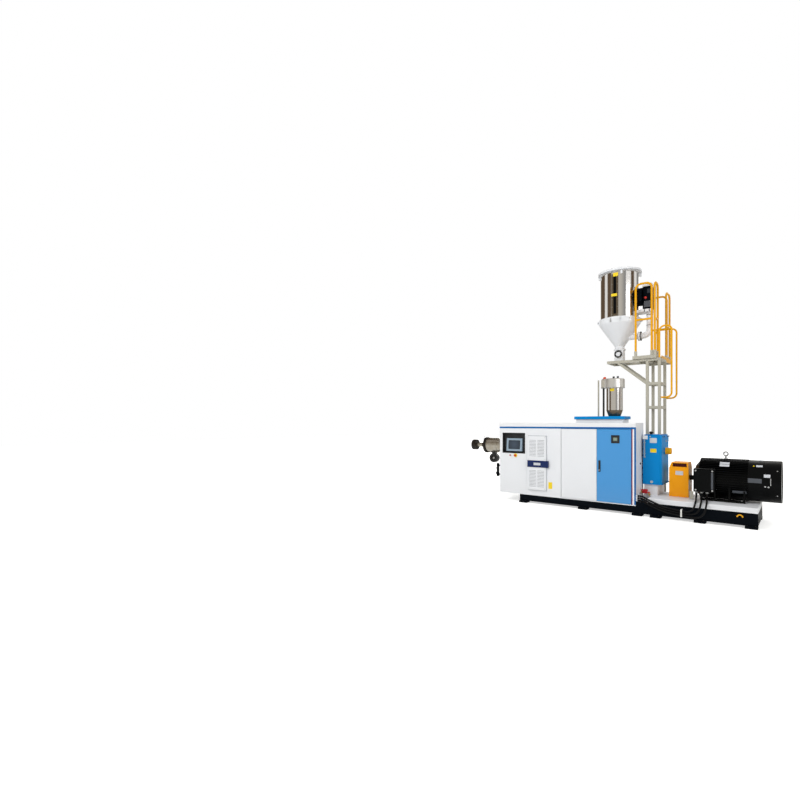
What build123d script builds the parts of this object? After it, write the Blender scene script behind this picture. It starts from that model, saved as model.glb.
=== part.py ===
from build123d import *
import os
from math import pi, radians, tan

os.makedirs("parts", exist_ok=True)

# Floor frame, all sizes in millimetres
# X runs along the machine to the motor, Y away from the operator, Z up
base_left = -2300
base_right = 1794
base_depth = 1120
pad_height = 41
pad_length = 170
pad_depth = 160
pad_overhang = 40
pad_centres = (-2213, -959, 25, 326, 1004, 1709)
rail_height = 130
rail_width = 90
rail_wall = 12
cross_member_width = 80
cross_member_count = 7
drive_frame_left = 12
drive_frame_height = 79
bed_height = 85
bed_bevel = 10
bed_left = 22
bed_notch_x = 190
bed_notch_y = 400
lug_centre_x = 1559
lug_radius = 46
lug_hole_radius = 26
lug_thickness = 14

rail_top = pad_height + rail_height
drive_frame_top = rail_top + drive_frame_height
bed_top = drive_frame_top + bed_height

# Machine axis
axis_y = 760
screw_axis_z = 1165

# Operator cabinet
cabinet_left = -2785
door_section_left = -1400
cabinet_depth = 560
cabinet_wall = 30
floor_thickness = 15
door_height_top = 1586
stripe_height = 35
stripe_proud = 4
roof_cap_height = 114
roof_edge_radius = 18
corner_strip_width = 66
panel_seam_x = -2150
seam_width = 5
seam_depth = 4

# Doors of the electrical section
door_thickness = 20
door_skin = 4
door_margin = 28
door_gap = 6
door_meeting_x = -695
door_hinge_gap = 10
hinge_inset = 10
hinge_pin_radius = 5
hinge_pin_length = 25
hinge_pin_clearance = 0.08
hinge_end_play = 2
handle_x = -642
handle_drop = 716
handle_width = 26
handle_height = 170
handle_depth = 24
meter_x = -354
meter_drop = 193
meter_size = 134
meter_depth = 12

# Operator panel and cooling unit on the front
recess_left = -2700
recess_right = -2190
recess_bottom_drop = 531
recess_top_drop = 111
recess_depth = 70
screen_frame_width = 372
screen_bottom_drop = 499
screen_top_drop = 220
screen_lean_bottom = 48
screen_lean_top = 22
display_width = 272
display_height = 190
display_thickness = 3
display_corner = 6
button_drop = 588
start_button_x = -2524
stop_button_x = -2402
button_radius = 13
button_length = 16
stop_button_radius = 21
cooler_left = -2100
cooler_width = 400
cooler_bottom = 293
cooler_top = 1427
cooler_depth = 46
cooler_radius = 26
louvre_length = 150
louvre_height = 12
louvre_pitch = 30
louvre_columns_apart = 180
louvre_rows = 12
louvre_cut = 10
band_width = 446
band_bottom = 772
band_top = 912
band_depth = 56

# Heights that hang from the top of the doors
roof_top = door_height_top + roof_cap_height
handle_z = door_height_top - handle_drop
meter_z = door_height_top - meter_drop
recess_bottom = door_height_top - recess_bottom_drop
recess_top = door_height_top - recess_top_drop
screen_frame_bottom = door_height_top - screen_bottom_drop
screen_frame_top = door_height_top - screen_top_drop
button_z = door_height_top - button_drop

# Barrel housing behind the cabinet
housing_left = -3080
housing_right = -330
housing_depth = 440
housing_top = 1690
housing_edge_radius = 25
vent_panel_count = 5
vent_panel_width = 420
vent_panel_height = 560
vent_panel_depth = 6

# Barrel end and melt adapter
barrel_radius = 150
clamp_left = -3507
clamp_right = -3217
clamp_radius = 158
clamp_ear_width = 60
clamp_ear_height = 34
retainer_thickness = 47
retainer_radius = 186
adapter_cone_length = 103
adapter_cone_radius = 118
neck_radius = 48
neck_length = 158
flange_thickness = 100
flange_radius = 126
melt_bore_radius = 30
flange_bolt_circle = 190
flange_bolt_count = 8
flange_bolt_radius = 9
flange_bolt_depth = 40
blower_x = -3334
blower_z = 860
blower_radius = 109
blower_width = 110
blower_inlet_radius = 58
blower_duct_width = 90
seat_clearance = 0.3

# Feed opening cover and vacuum loader
feed_box_left = -1290
feed_box_right = -370
feed_box_depth = 400
feed_box_height = 87
feed_cover_overhang = 35
feed_cover_height = 60
feed_cover_radius = 14
loader_x = -583
loader_radius = 153
loader_outlet_radius = 112
loader_cone_height = 118
loader_height = 460
cap_x = -615
cap_radius = 220
cap_height = 185
cap_edge_radius = 22
lamp_x = -800
lamp_radius = 24
lamp_height = 42
knob_x = (-600, -520)
knob_radius = 19
knob_height = 46
suction_pipe_x = -797
suction_pipe_radius = 19
vent_pipe_x = -900
vent_pipe_radius = 14
vent_pipe_height = 750

# Gearbox
gearbox_left = 22
gearbox_right = 335
gearbox_depth = 660
gearbox_bottom = 540
gearbox_top = 1480
gearbox_chamfer = 34
gearbox_lid_height = 26
gearbox_lid_inset = 14
gearbox_flange_proud = 10
gearbox_flange_height = 22
pedestal_right = 262
pedestal_inset = 40
thrust_radius = 185
thrust_rib_radius = 196
thrust_rib_width = 30
shaft_cap_radius = 62
shaft_cap_length = 102

# Coupling guard
guard_left = 435
guard_right = 749
guard_depth = 370
guard_top = 970
guard_shoulder = 865
guard_top_left_inset = 40
guard_top_right_inset = 14
guard_slot_left = 492
guard_slot_right = 721
guard_slot_bottom = 888
guard_slot_top = 955
guard_slot_depth = 30

# Motor
motor_axis_z = 690
motor_body_left = 925
motor_body_right = 1630
motor_core_radius = 345
fin_height = 30
fin_width = 9
fin_count = 41
fin_arc = 250
motor_bell_left = 850
motor_bell_radius = 240
motor_cap_length = 34
motor_cap_radius = 120
motor_shaft_radius = 45
foot_left = 950
foot_right = 1600
foot_half_span = 360
foot_width = 110
foot_thickness = 36
foot_web_width = 26
foot_web_count = 4
cowl_right = 2081
cowl_radius = 352
cowl_axis_z = 705
cowl_edge_radius = 20
cowl_wall = 12
cowl_recess = 30
eye_x = 1296
eye_ring_radius = 32
eye_bar_radius = 10
eye_stem_radius = 14
eye_neck_height = 52
eye_pad_size = 56
eye_pad_proud = 3
box_left = 866
box_right = 1185
box_bottom = 490
box_top = 900
box_front_y = 280
box_neck_front_y = 385
box_back_y = 500
box_cover_thickness = 14
box_cover_inset = 18
box_edge_radius = 12
box_neck_inset = 60

# Tower and hopper frame
post_size = 50
post_left_x = -63
post_right_x = 157
post_front_y = 1150
post_back_y = 1640
frame_bottom = 2960
frame_left = -840
brace_heights = (700, 1360, 2020, 2500)
foot_plate_size = 120
foot_plate_thickness = 12
strut_top_x = -648
strut_bottom_z = 2486
strut_size = 44
seat_plate_right = -540
seat_plate_thickness = 6
outrigger_width = 80

# Platform
deck_left = -330
deck_right = 110
deck_front = 1095
deck_back = 2555
deck_height = 65
deck_edge = 8
deck_plate = 5
deck_joists = 3
deck_joist_width = 40
rail_tube_radius = 21
rail_inset = 30
rail_height_above_deck = 1475
rail_corner_radius = 105
mid_rail_height = 741
socket_radius = 27
socket_height = 95
front_hoop = (-275, 24)
side_hoop_front_gaps = (23, 278)
side_hoop_back_gaps = (390, 35)
side_hoop_front = (deck_front + side_hoop_front_gaps[0], deck_front + side_hoop_front_gaps[1])
side_hoop_back = (deck_back - side_hoop_back_gaps[0], deck_back - side_hoop_back_gaps[1])
toe_board_front = 1560
toe_board_height = 95
toe_board_thickness = 8
handrail_radius = 17
handrail_out_x = 372
handrail_top = 3645
handrail_bottom = 2215
handrail_bend = 95
back_handrail_x = -20

# Dryer hopper
hopper_x = -658
hopper_y = 1395
hopper_radius = 378
hopper_wall = 6
hopper_bottom = 3930
hopper_top = 4880
ring_radius = 402
ring_height = 115
cone_outlet_radius = 95
cone_height = 470
neck_height = 60
outlet_flange_radius = 118
outlet_flange_height = 22
outlet_block_size = 170
lid_radius = 425
lid_band = 55
lid_rise = 40
lid_clamp_count = 4
lid_clamp_start = 200
lid_clamp_size = 34
port_radius = 80
port_bore_radius = 46
port_z = 3175
port_length = 34
sight_width = 130
sight_depth = 34
sight_bottom_gap = 17
sight_top_gap = 60
sight_bottom = hopper_bottom + sight_bottom_gap
sight_top = hopper_top - sight_top_gap
sight_slot_width = 46
sight_slot_depth = 8
sight_x_offset = 10
shelf_right = -10
shelf_bottom = 4000
shelf_thickness = 50
shelf_depth = 300
heater_box_left = -175
heater_box_height = 520
heater_box_radius = 10
dryer_fan_radius = 185
dryer_fan_width = 98
dryer_fan_z = 4330
dryer_fan_y = 1336
duct_x = -72
duct_radius = 60
duct_z = 3525
duct_bend = 130
duct_flange_radius = 96
duct_flange_width = 40
duct_flange_x = -262

# Power cables
cable_radius = 15
gland_radius = 22
wall_gland_radius = 20
gland_length = 25
tie_x = 742
tie_width = 24
tie_wall = 3
tie_bottom = 78
tie_top = 206
tie_out = 86


def block(x0, x1, y0, y1, z0, z1, mode=Mode.ADD):
    """Add a box to the open part, given by the places of its six faces."""
    with Locations(((x0 + x1) / 2, (y0 + y1) / 2, (z0 + z1) / 2)):
        Box(x1 - x0, y1 - y0, z1 - z0, mode=mode)


def rod(start, end, radius, mode=Mode.ADD):
    """Add a round bar to the open part between two points."""
    line = Vector(*end) - Vector(*start)
    with Locations(Plane(origin=start, z_dir=line)):
        Cylinder(radius, line.length, align=(Align.CENTER, Align.CENTER, Align.MIN), mode=mode)


def save(builder, name):
    """Label a finished piece and write its file."""
    builder.part.label = name
    export_step(builder.part, f"parts/{name}.step")


# Base frame: two long channels with their open sides inwards, and the outrigger below the tower
def channel_rail(front):
    """One long channel, with its web at the front or at the back of the base."""
    with BuildPart() as rail:
        outer_y = 0 if front else base_depth - rail_width
        hollow_y = rail_wall if front else base_depth - rail_width
        with BuildSketch(Plane.YZ.offset(base_left)):
            with Locations((outer_y, pad_height)):
                Rectangle(rail_width, rail_height, align=(Align.MIN, Align.MIN))
            with Locations((hollow_y, pad_height + rail_wall)):
                Rectangle(rail_width - rail_wall, rail_height - 2 * rail_wall,
                          align=(Align.MIN, Align.MIN), mode=Mode.SUBTRACT)
        extrude(amount=base_right - base_left)
    return rail


front_rail = channel_rail(True)
rear_rail = channel_rail(False)
outrigger_back = post_back_y + foot_plate_size / 2
with BuildPart() as base_rails:
    add(front_rail.part)
    add(rear_rail.part)
    for post_x in (post_left_x, post_right_x):
        block(post_x - outrigger_width / 2, post_x + outrigger_width / 2, base_depth, outrigger_back,
              pad_height, rail_top)
    block(post_left_x, post_right_x, outrigger_back - outrigger_width, outrigger_back,
          pad_height, rail_top)
save(base_rails, "base_rails")

member_pitch = (base_right - base_left - cross_member_width) / (cross_member_count - 1)
with BuildPart() as base_cross_members:
    for index in range(cross_member_count):
        member_x = base_left + index * member_pitch
        block(member_x, member_x + cross_member_width, rail_width, base_depth - rail_width,
              pad_height, rail_top)
save(base_cross_members, "base_cross_members")

with BuildPart() as floor_pads:
    for pad_x in pad_centres:
        for pad_y in (-pad_overhang, base_depth + pad_overhang - pad_depth):
            block(pad_x - pad_length / 2, pad_x + pad_length / 2, pad_y, pad_y + pad_depth, 0, pad_height)
    for post_x in (post_left_x, post_right_x):
        block(post_x - outrigger_width / 2, post_x + outrigger_width / 2,
              outrigger_back - pad_depth, outrigger_back, 0, pad_height)
save(floor_pads, "floor_pads")

# Drive frame with its lifting lugs, and the white bed with the pedestal of the gearbox
with BuildPart() as drive_frame:
    block(drive_frame_left, base_right, 0, base_depth, rail_top, drive_frame_top)
    for lug_y in (-lug_thickness, base_depth):
        with BuildSketch(Plane.XZ.offset(-lug_y - lug_thickness)):
            with Locations((lug_centre_x, rail_top)):
                Circle(lug_radius)
                Circle(lug_hole_radius, mode=Mode.SUBTRACT)
                Rectangle(2 * lug_radius, lug_radius, align=(Align.CENTER, Align.MAX), mode=Mode.SUBTRACT)
        extrude(amount=lug_thickness)
save(drive_frame, "drive_frame")

gearbox_front = axis_y - gearbox_depth / 2
gearbox_back = axis_y + gearbox_depth / 2
with BuildPart() as motor_bed:
    with BuildSketch(Plane.XY.offset(drive_frame_top)):
        with BuildLine():
            Polyline((bed_notch_x, 0), (base_right, 0), (base_right, base_depth), (bed_left, base_depth),
                     (bed_left, bed_notch_y), (bed_notch_x, bed_notch_y), close=True)
        make_face()
    extrude(amount=bed_height)
    chamfer(motor_bed.faces().sort_by(Axis.Z)[-1].edges(), bed_bevel)
    block(bed_left + bed_bevel, pedestal_right, gearbox_front + pedestal_inset,
          gearbox_back - pedestal_inset, bed_top, gearbox_bottom)
save(motor_bed, "motor_bed")

# Closed operator section of the cabinet, with the recess for the screen
with BuildPart() as control_housing:
    block(cabinet_left, door_section_left, 0, cabinet_depth, rail_top, door_height_top)
    fillet(control_housing.edges().filter_by(Axis.Z).group_by(Axis.X)[0], roof_edge_radius)
    block(recess_left, recess_right, 0, recess_depth, recess_bottom, recess_top, mode=Mode.SUBTRACT)
    block(panel_seam_x, panel_seam_x + seam_width, 0, seam_depth, rail_top, door_height_top,
          mode=Mode.SUBTRACT)
save(control_housing, "control_housing")

screen_middle_x = (recess_left + recess_right) / 2
screen_slope = Vector(0, screen_lean_bottom - screen_lean_top, screen_frame_top - screen_frame_bottom)
screen_plane = Plane(
    origin=(screen_middle_x, (screen_lean_top + screen_lean_bottom) / 2,
            (screen_frame_bottom + screen_frame_top) / 2),
    x_dir=(1, 0, 0), z_dir=Vector(1, 0, 0).cross(screen_slope))
with BuildPart() as hmi_panel:
    with BuildSketch(Plane.YZ.offset(screen_middle_x - screen_frame_width / 2)):
        with BuildLine():
            Polyline((recess_depth, screen_frame_bottom), (screen_lean_top, screen_frame_bottom),
                     (screen_lean_bottom, screen_frame_top), (recess_depth, screen_frame_top), close=True)
        make_face()
    extrude(amount=screen_frame_width)
    with BuildSketch(screen_plane):
        RectangleRounded(display_width, display_height, display_corner)
    extrude(amount=display_thickness)
save(hmi_panel, "hmi_panel")

with BuildPart() as push_buttons:
    rod((start_button_x, 0, button_z), (start_button_x, -button_length, button_z), button_radius)
    rod((stop_button_x, 0, button_z), (stop_button_x, -button_length, button_z), button_radius)
    rod((stop_button_x, -button_length, button_z), (stop_button_x, -2 * button_length, button_z),
        stop_button_radius)
save(push_buttons, "push_buttons")

# Air cooling unit on the front, with louvres above and below its band
cooler_middle_x = cooler_left + cooler_width / 2
with BuildPart() as cooling_unit:
    block(cooler_left, cooler_left + cooler_width, -cooler_depth, 0, cooler_bottom, cooler_top)
    fillet(cooling_unit.edges().filter_by(Axis.Y), cooler_radius)
    fillet(cooling_unit.faces().sort_by(Axis.Y)[0].edges(), cooler_radius / 3)
    block(cooler_left, cooler_left + band_width, -band_depth, 0, band_bottom, band_top)
    for louvre_middle in ((band_top + cooler_top) / 2, (cooler_bottom + band_bottom) / 2):
        with Locations(Plane(origin=(cooler_middle_x, -cooler_depth, louvre_middle),
                             x_dir=(1, 0, 0), z_dir=(0, -1, 0))):
            with GridLocations(louvre_columns_apart, louvre_pitch, 2, louvre_rows):
                Box(louvre_length, louvre_height, 2 * louvre_cut, mode=Mode.SUBTRACT)
save(cooling_unit, "cooling_unit")

# Roof cap, with the blue stripe under its front edge and the corner strip beside the doors
hinge_y = door_thickness / 2
frame_y = door_thickness + door_hinge_gap
with BuildPart() as roof:
    with BuildSketch(Plane.YZ.offset(cabinet_left)):
        with BuildLine():
            Polyline((0, door_height_top + stripe_height), (0, roof_top), (cabinet_depth, roof_top),
                     (cabinet_depth, door_height_top), (frame_y, door_height_top),
                     (frame_y, door_height_top + stripe_height), close=True)
        make_face()
    extrude(amount=-cabinet_left)
    fillet(roof.edges().filter_by(Axis.X).group_by(Axis.Z)[-1], roof_edge_radius)
save(roof, "roof")

white_hinge_x = door_section_left + door_hinge_gap + hinge_inset
blue_hinge_x = -corner_strip_width - door_hinge_gap - hinge_inset
with BuildPart() as blue_trim:
    block(-corner_strip_width, 0, 0, frame_y, rail_top + floor_thickness, door_height_top)
    block(cabinet_left, 0, -stripe_proud, frame_y, door_height_top, door_height_top + stripe_height)
    for hinge_x in (white_hinge_x, blue_hinge_x):
        rod((hinge_x, hinge_y, door_height_top), (hinge_x, hinge_y, door_height_top - hinge_pin_length),
            hinge_pin_radius)
save(blue_trim, "blue_trim")

# Hollow door section: floor, back and right end
cabinet_floor_top = rail_top + floor_thickness
with BuildPart() as cabinet_floor:
    block(door_section_left, 0, 0, cabinet_depth, rail_top, cabinet_floor_top)
    for hinge_x in (white_hinge_x, blue_hinge_x):
        rod((hinge_x, hinge_y, cabinet_floor_top),
            (hinge_x, hinge_y, cabinet_floor_top + hinge_pin_length), hinge_pin_radius)
save(cabinet_floor, "cabinet_floor")

cable_ends = ((30, 358), (30, 317), (30, 276))
with BuildPart() as cabinet_walls:
    block(door_section_left, -cabinet_wall, cabinet_depth - cabinet_wall, cabinet_depth,
          cabinet_floor_top, door_height_top)
    block(-cabinet_wall, 0, frame_y, cabinet_depth, cabinet_floor_top, door_height_top)
    for end_y, end_z in cable_ends:
        rod((0, end_y, end_z), (gland_length, end_y, end_z), wall_gland_radius)
save(cabinet_walls, "cabinet_walls")


def door_leaf(left, right, hinge_x):
    """A folded leaf with pivot holes above and below, hollow on its inner side."""
    low = cabinet_floor_top + door_gap
    high = door_height_top - door_gap
    hole_depth = hinge_pin_length - door_gap + hinge_end_play
    with BuildPart() as leaf:
        block(left, right, 0, door_thickness, low, high)
        block(left + door_margin, right - door_margin, door_skin, door_thickness,
              low + door_margin, high - door_margin, mode=Mode.SUBTRACT)
        for start, end in ((low, low + hole_depth), (high, high - hole_depth)):
            rod((hinge_x, hinge_y, start), (hinge_x, hinge_y, end),
                hinge_pin_radius + hinge_pin_clearance, mode=Mode.SUBTRACT)
    return leaf


white_door = door_leaf(door_section_left + door_hinge_gap, door_meeting_x - door_gap / 2, white_hinge_x)
save(white_door, "white_door")
blue_door = door_leaf(door_meeting_x + door_gap / 2, -corner_strip_width - door_hinge_gap, blue_hinge_x)
save(blue_door, "blue_door")

with BuildPart() as door_handle:
    block(handle_x - handle_width / 2, handle_x + handle_width / 2, -handle_depth, 0,
          handle_z - handle_height / 2, handle_z + handle_height / 2)
    fillet(door_handle.edges().filter_by(Axis.Y), handle_width / 3)
save(door_handle, "door_handle")

with BuildPart() as panel_meter:
    block(meter_x - meter_size / 2, meter_x + meter_size / 2, -meter_depth, 0,
          meter_z - meter_size / 2, meter_z + meter_size / 2)
    block(meter_x - meter_size / 3, meter_x + meter_size / 3, -meter_depth, -meter_depth / 2,
          meter_z - meter_size / 3, meter_z + meter_size / 3, mode=Mode.SUBTRACT)
save(panel_meter, "panel_meter")

# Barrel housing behind the cabinet, with shallow vent panels on its back
housing_back = cabinet_depth + housing_depth
with BuildPart() as rear_housing:
    block(housing_left, housing_right, cabinet_depth, housing_back, rail_top, housing_top)
    fillet(rear_housing.edges().filter_by(Axis.X).group_by(Axis.Z)[-1], housing_edge_radius)
    panel_pitch = (housing_right - housing_left) / vent_panel_count
    for index in range(vent_panel_count):
        panel_x = housing_left + (index + 0.5) * panel_pitch
        block(panel_x - vent_panel_width / 2, panel_x + vent_panel_width / 2,
              housing_back - vent_panel_depth, housing_back,
              screw_axis_z - vent_panel_height / 2, screw_axis_z + vent_panel_height / 2,
              mode=Mode.SUBTRACT)
save(rear_housing, "rear_housing")

# Barrel end with its clamp, then the melt adapter: cone, neck and bolt-on flange about the screw axis
with BuildPart() as head_clamp:
    rod((clamp_right, axis_y, screw_axis_z), (housing_left, axis_y, screw_axis_z), barrel_radius)
    rod((clamp_left, axis_y, screw_axis_z), (clamp_right, axis_y, screw_axis_z), clamp_radius)
    for side in (-1, 1):
        ear_z = screw_axis_z + side * clamp_radius
        block(clamp_left, clamp_right, axis_y - clamp_ear_width / 2, axis_y + clamp_ear_width / 2,
              ear_z - clamp_ear_height / 2, ear_z + clamp_ear_height / 2)
save(head_clamp, "head_clamp")

retainer_left = clamp_left - retainer_thickness
cone_left = retainer_left - adapter_cone_length
neck_left = cone_left - neck_length
flange_left = neck_left - flange_thickness
with BuildPart() as melt_adapter:
    with BuildSketch(Plane.XZ.offset(-axis_y)):
        with BuildLine():
            Polyline((clamp_left, screw_axis_z), (clamp_left, screw_axis_z + retainer_radius),
                     (retainer_left, screw_axis_z + retainer_radius),
                     (retainer_left, screw_axis_z + adapter_cone_radius),
                     (cone_left, screw_axis_z + neck_radius), (cone_left, screw_axis_z), close=True)
        make_face()
    revolve(axis=Axis((0, axis_y, screw_axis_z), (1, 0, 0)))
    rod((cone_left, axis_y, screw_axis_z), (clamp_left, axis_y, screw_axis_z), melt_bore_radius,
        mode=Mode.SUBTRACT)
save(melt_adapter, "melt_adapter")

with BuildPart() as adapter_neck:
    rod((neck_left, axis_y, screw_axis_z), (cone_left, axis_y, screw_axis_z), neck_radius)
    rod((neck_left, axis_y, screw_axis_z), (cone_left, axis_y, screw_axis_z), melt_bore_radius,
        mode=Mode.SUBTRACT)
save(adapter_neck, "adapter_neck")

with BuildPart() as adapter_flange:
    rod((flange_left, axis_y, screw_axis_z), (neck_left, axis_y, screw_axis_z), flange_radius)
    rod((flange_left, axis_y, screw_axis_z), (neck_left, axis_y, screw_axis_z), melt_bore_radius,
        mode=Mode.SUBTRACT)
    with Locations(Plane(origin=(flange_left, axis_y, screw_axis_z), z_dir=(-1, 0, 0))):
        with PolarLocations(flange_bolt_circle / 2, flange_bolt_count):
            Cylinder(flange_bolt_radius, 2 * flange_bolt_depth, mode=Mode.SUBTRACT)
save(adapter_flange, "adapter_flange")

with BuildPart() as barrel_blower:
    rod((blower_x, axis_y - blower_width / 2, blower_z), (blower_x, axis_y + blower_width / 2, blower_z),
        blower_radius)
    block(blower_x - blower_duct_width / 2, blower_x + blower_duct_width / 2,
          axis_y - blower_duct_width / 2, axis_y + blower_duct_width / 2, blower_z, screw_axis_z - clamp_radius)
    block(blower_x - blower_duct_width / 2 - 1, blower_x + blower_duct_width / 2 + 1,
          axis_y - clamp_ear_width / 2 - seat_clearance, axis_y + clamp_ear_width / 2 + seat_clearance,
          screw_axis_z - clamp_radius - clamp_ear_height / 2 - seat_clearance, screw_axis_z,
          mode=Mode.SUBTRACT)
    rod((blower_x, axis_y - blower_width / 2, blower_z),
        (blower_x, axis_y - blower_width / 4, blower_z), blower_inlet_radius, mode=Mode.SUBTRACT)
save(barrel_blower, "barrel_blower")

# Feed opening cover
feed_front = axis_y - feed_box_depth / 2
feed_back = axis_y + feed_box_depth / 2
feed_box_top = housing_top + feed_box_height
feed_cover_top = feed_box_top + feed_cover_height
with BuildPart() as feed_cover:
    block(feed_box_left - feed_cover_overhang, feed_box_right + feed_cover_overhang,
          feed_front - feed_cover_overhang, feed_back + feed_cover_overhang, feed_box_top, feed_cover_top)
    fillet(feed_cover.edges().filter_by(Axis.Z), feed_cover_radius)
    fillet(feed_cover.faces().sort_by(Axis.Z)[-1].edges(), feed_cover_radius)
    block(feed_box_left, feed_box_right, feed_front, feed_back, housing_top, feed_box_top)
save(feed_cover, "feed_cover")

# Vacuum loader on the cover
loader_cone_top = feed_cover_top + loader_cone_height
loader_top = loader_cone_top + loader_height
with BuildPart() as loader_body:
    with BuildSketch(Plane.XZ.offset(-axis_y)):
        with BuildLine():
            Polyline((loader_x, feed_cover_top), (loader_x + loader_outlet_radius, feed_cover_top),
                     (loader_x + loader_radius, loader_cone_top), (loader_x + loader_radius, loader_top),
                     (loader_x, loader_top), close=True)
        make_face()
    revolve(axis=Axis((loader_x, axis_y, 0), (0, 0, 1)))
save(loader_body, "loader_body")

cap_top = loader_top + cap_height
with BuildPart() as loader_cap:
    rod((cap_x, axis_y, loader_top), (cap_x, axis_y, cap_top), cap_radius)
    fillet(loader_cap.faces().sort_by(Axis.Z)[-1].edges(), cap_edge_radius)
    rod((lamp_x + lamp_radius, axis_y, cap_top), (lamp_x + lamp_radius, axis_y, cap_top + lamp_height),
        lamp_radius)
    for x in knob_x:
        rod((x, axis_y, cap_top), (x, axis_y, cap_top + knob_height), knob_radius)
save(loader_cap, "loader_cap")

with BuildPart() as loader_pipes:
    rod((suction_pipe_x, axis_y, feed_cover_top), (suction_pipe_x, axis_y, loader_top), suction_pipe_radius)
    rod((vent_pipe_x, axis_y, feed_cover_top), (vent_pipe_x, axis_y, feed_cover_top + vent_pipe_height),
        vent_pipe_radius)
save(loader_pipes, "loader_pipes")

# Gearbox with the thrust bearing housing towards the barrel and a cap on its shaft end
with BuildPart() as gearbox:
    block(gearbox_left, gearbox_right, gearbox_front, gearbox_back, gearbox_bottom,
          gearbox_top - gearbox_lid_height)
    chamfer(gearbox.edges().filter_by(Axis.Z).group_by(Axis.X)[-1], gearbox_chamfer)
    block(gearbox_left + gearbox_lid_inset, gearbox_right - gearbox_lid_inset,
          gearbox_front + gearbox_chamfer, gearbox_back - gearbox_chamfer,
          gearbox_top - gearbox_lid_height, gearbox_top)
    for flange_z in (gearbox_bottom, gearbox_top - gearbox_lid_height - gearbox_flange_height):
        block(gearbox_right, gearbox_right + gearbox_flange_proud, gearbox_front + gearbox_chamfer,
              gearbox_back - gearbox_chamfer, flange_z, flange_z + gearbox_flange_height)
    rod((housing_right, axis_y, screw_axis_z), (gearbox_left, axis_y, screw_axis_z), thrust_radius)
    for rib_x in (housing_right, gearbox_left - thrust_rib_width):
        rod((rib_x, axis_y, screw_axis_z), (rib_x + thrust_rib_width, axis_y, screw_axis_z),
            thrust_rib_radius)
    rod((gearbox_right, axis_y, screw_axis_z), (gearbox_right + shaft_cap_length, axis_y, screw_axis_z),
        shaft_cap_radius)
    fillet(gearbox.faces().sort_by(Axis.X)[-1].edges(), shaft_cap_radius / 4)
save(gearbox, "gearbox")

# Coupling guard, narrower at its top, with a slot in the front sheet
guard_front = axis_y - guard_depth / 2
with BuildPart() as coupling_guard:
    with BuildSketch(Plane.XZ.offset(-guard_front)):
        with BuildLine():
            Polyline((guard_left, bed_top), (guard_right, bed_top), (guard_right, guard_shoulder),
                     (guard_right - guard_top_right_inset, guard_top),
                     (guard_left + guard_top_left_inset, guard_top),
                     (guard_left, guard_shoulder), close=True)
        make_face()
    extrude(amount=-guard_depth)
    block(guard_slot_left, guard_slot_right, guard_front, guard_front + guard_slot_depth,
          guard_slot_bottom, guard_slot_top, mode=Mode.SUBTRACT)
save(coupling_guard, "coupling_guard")

# Motor with fins on its sides and top, feet and a lifting eye on its pad
eye_seat_z = motor_axis_z + motor_core_radius + fin_height + eye_pad_proud
with BuildPart() as motor_body:
    with BuildSketch(Plane.XZ.offset(-axis_y)):
        with BuildLine():
            Polyline((guard_right, motor_axis_z), (guard_right, motor_axis_z + motor_shaft_radius),
                     (motor_bell_left - motor_cap_length, motor_axis_z + motor_shaft_radius),
                     (motor_bell_left - motor_cap_length, motor_axis_z + motor_cap_radius),
                     (motor_bell_left, motor_axis_z + motor_cap_radius),
                     (motor_bell_left, motor_axis_z + motor_bell_radius),
                     (motor_body_left, motor_axis_z + motor_core_radius),
                     (motor_body_right, motor_axis_z + motor_core_radius),
                     (motor_body_right, motor_axis_z), close=True)
        make_face()
    revolve(axis=Axis((0, axis_y, motor_axis_z), (1, 0, 0)))
    fin_step = fin_arc / (fin_count - 1)
    with BuildSketch(Plane.YZ.offset(motor_body_left)):
        with Locations((axis_y, motor_axis_z)):
            with PolarLocations(motor_core_radius + fin_height / 2 - 2, fin_count,
                                start_angle=90 - fin_arc / 2, angular_range=fin_arc):
                Rectangle(fin_height + 4, fin_width)
    extrude(amount=motor_body_right - motor_body_left)
    block(box_left + box_neck_inset, box_right - box_neck_inset, box_neck_front_y, box_back_y,
          box_bottom + box_neck_inset, box_top - box_neck_inset)
    for side in (-1, 1):
        foot_outer = axis_y + side * foot_half_span
        foot_inner = foot_outer - side * foot_width
        block(foot_left, foot_right, min(foot_outer, foot_inner), max(foot_outer, foot_inner),
              bed_top, bed_top + foot_thickness)
        for index in range(foot_web_count):
            web_x = foot_left + index * (foot_right - foot_left - foot_web_width) / (foot_web_count - 1)
            with BuildSketch(Plane.YZ.offset(web_x)):
                with BuildLine():
                    Polyline((foot_outer, bed_top + foot_thickness),
                             (axis_y + side * motor_core_radius * 0.98, motor_axis_z),
                             (axis_y + side * motor_core_radius * 0.5, motor_axis_z - motor_core_radius * 0.5),
                             (foot_inner, bed_top + foot_thickness), close=True)
                make_face()
            extrude(amount=foot_web_width)
    block(eye_x - eye_pad_size / 2, eye_x + eye_pad_size / 2, axis_y - eye_pad_size / 2,
          axis_y + eye_pad_size / 2, motor_axis_z + motor_core_radius - eye_pad_proud, eye_seat_z)
save(motor_body, "motor_body")

with BuildPart() as lifting_eye:
    rod((eye_x, axis_y, eye_seat_z), (eye_x, axis_y, eye_seat_z + eye_neck_height), eye_stem_radius)
    with Locations(Plane(origin=(eye_x, axis_y, eye_seat_z + eye_neck_height + eye_ring_radius),
                         z_dir=(0, 1, 0))):
        Torus(eye_ring_radius, eye_bar_radius)
save(lifting_eye, "lifting_eye")

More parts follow.
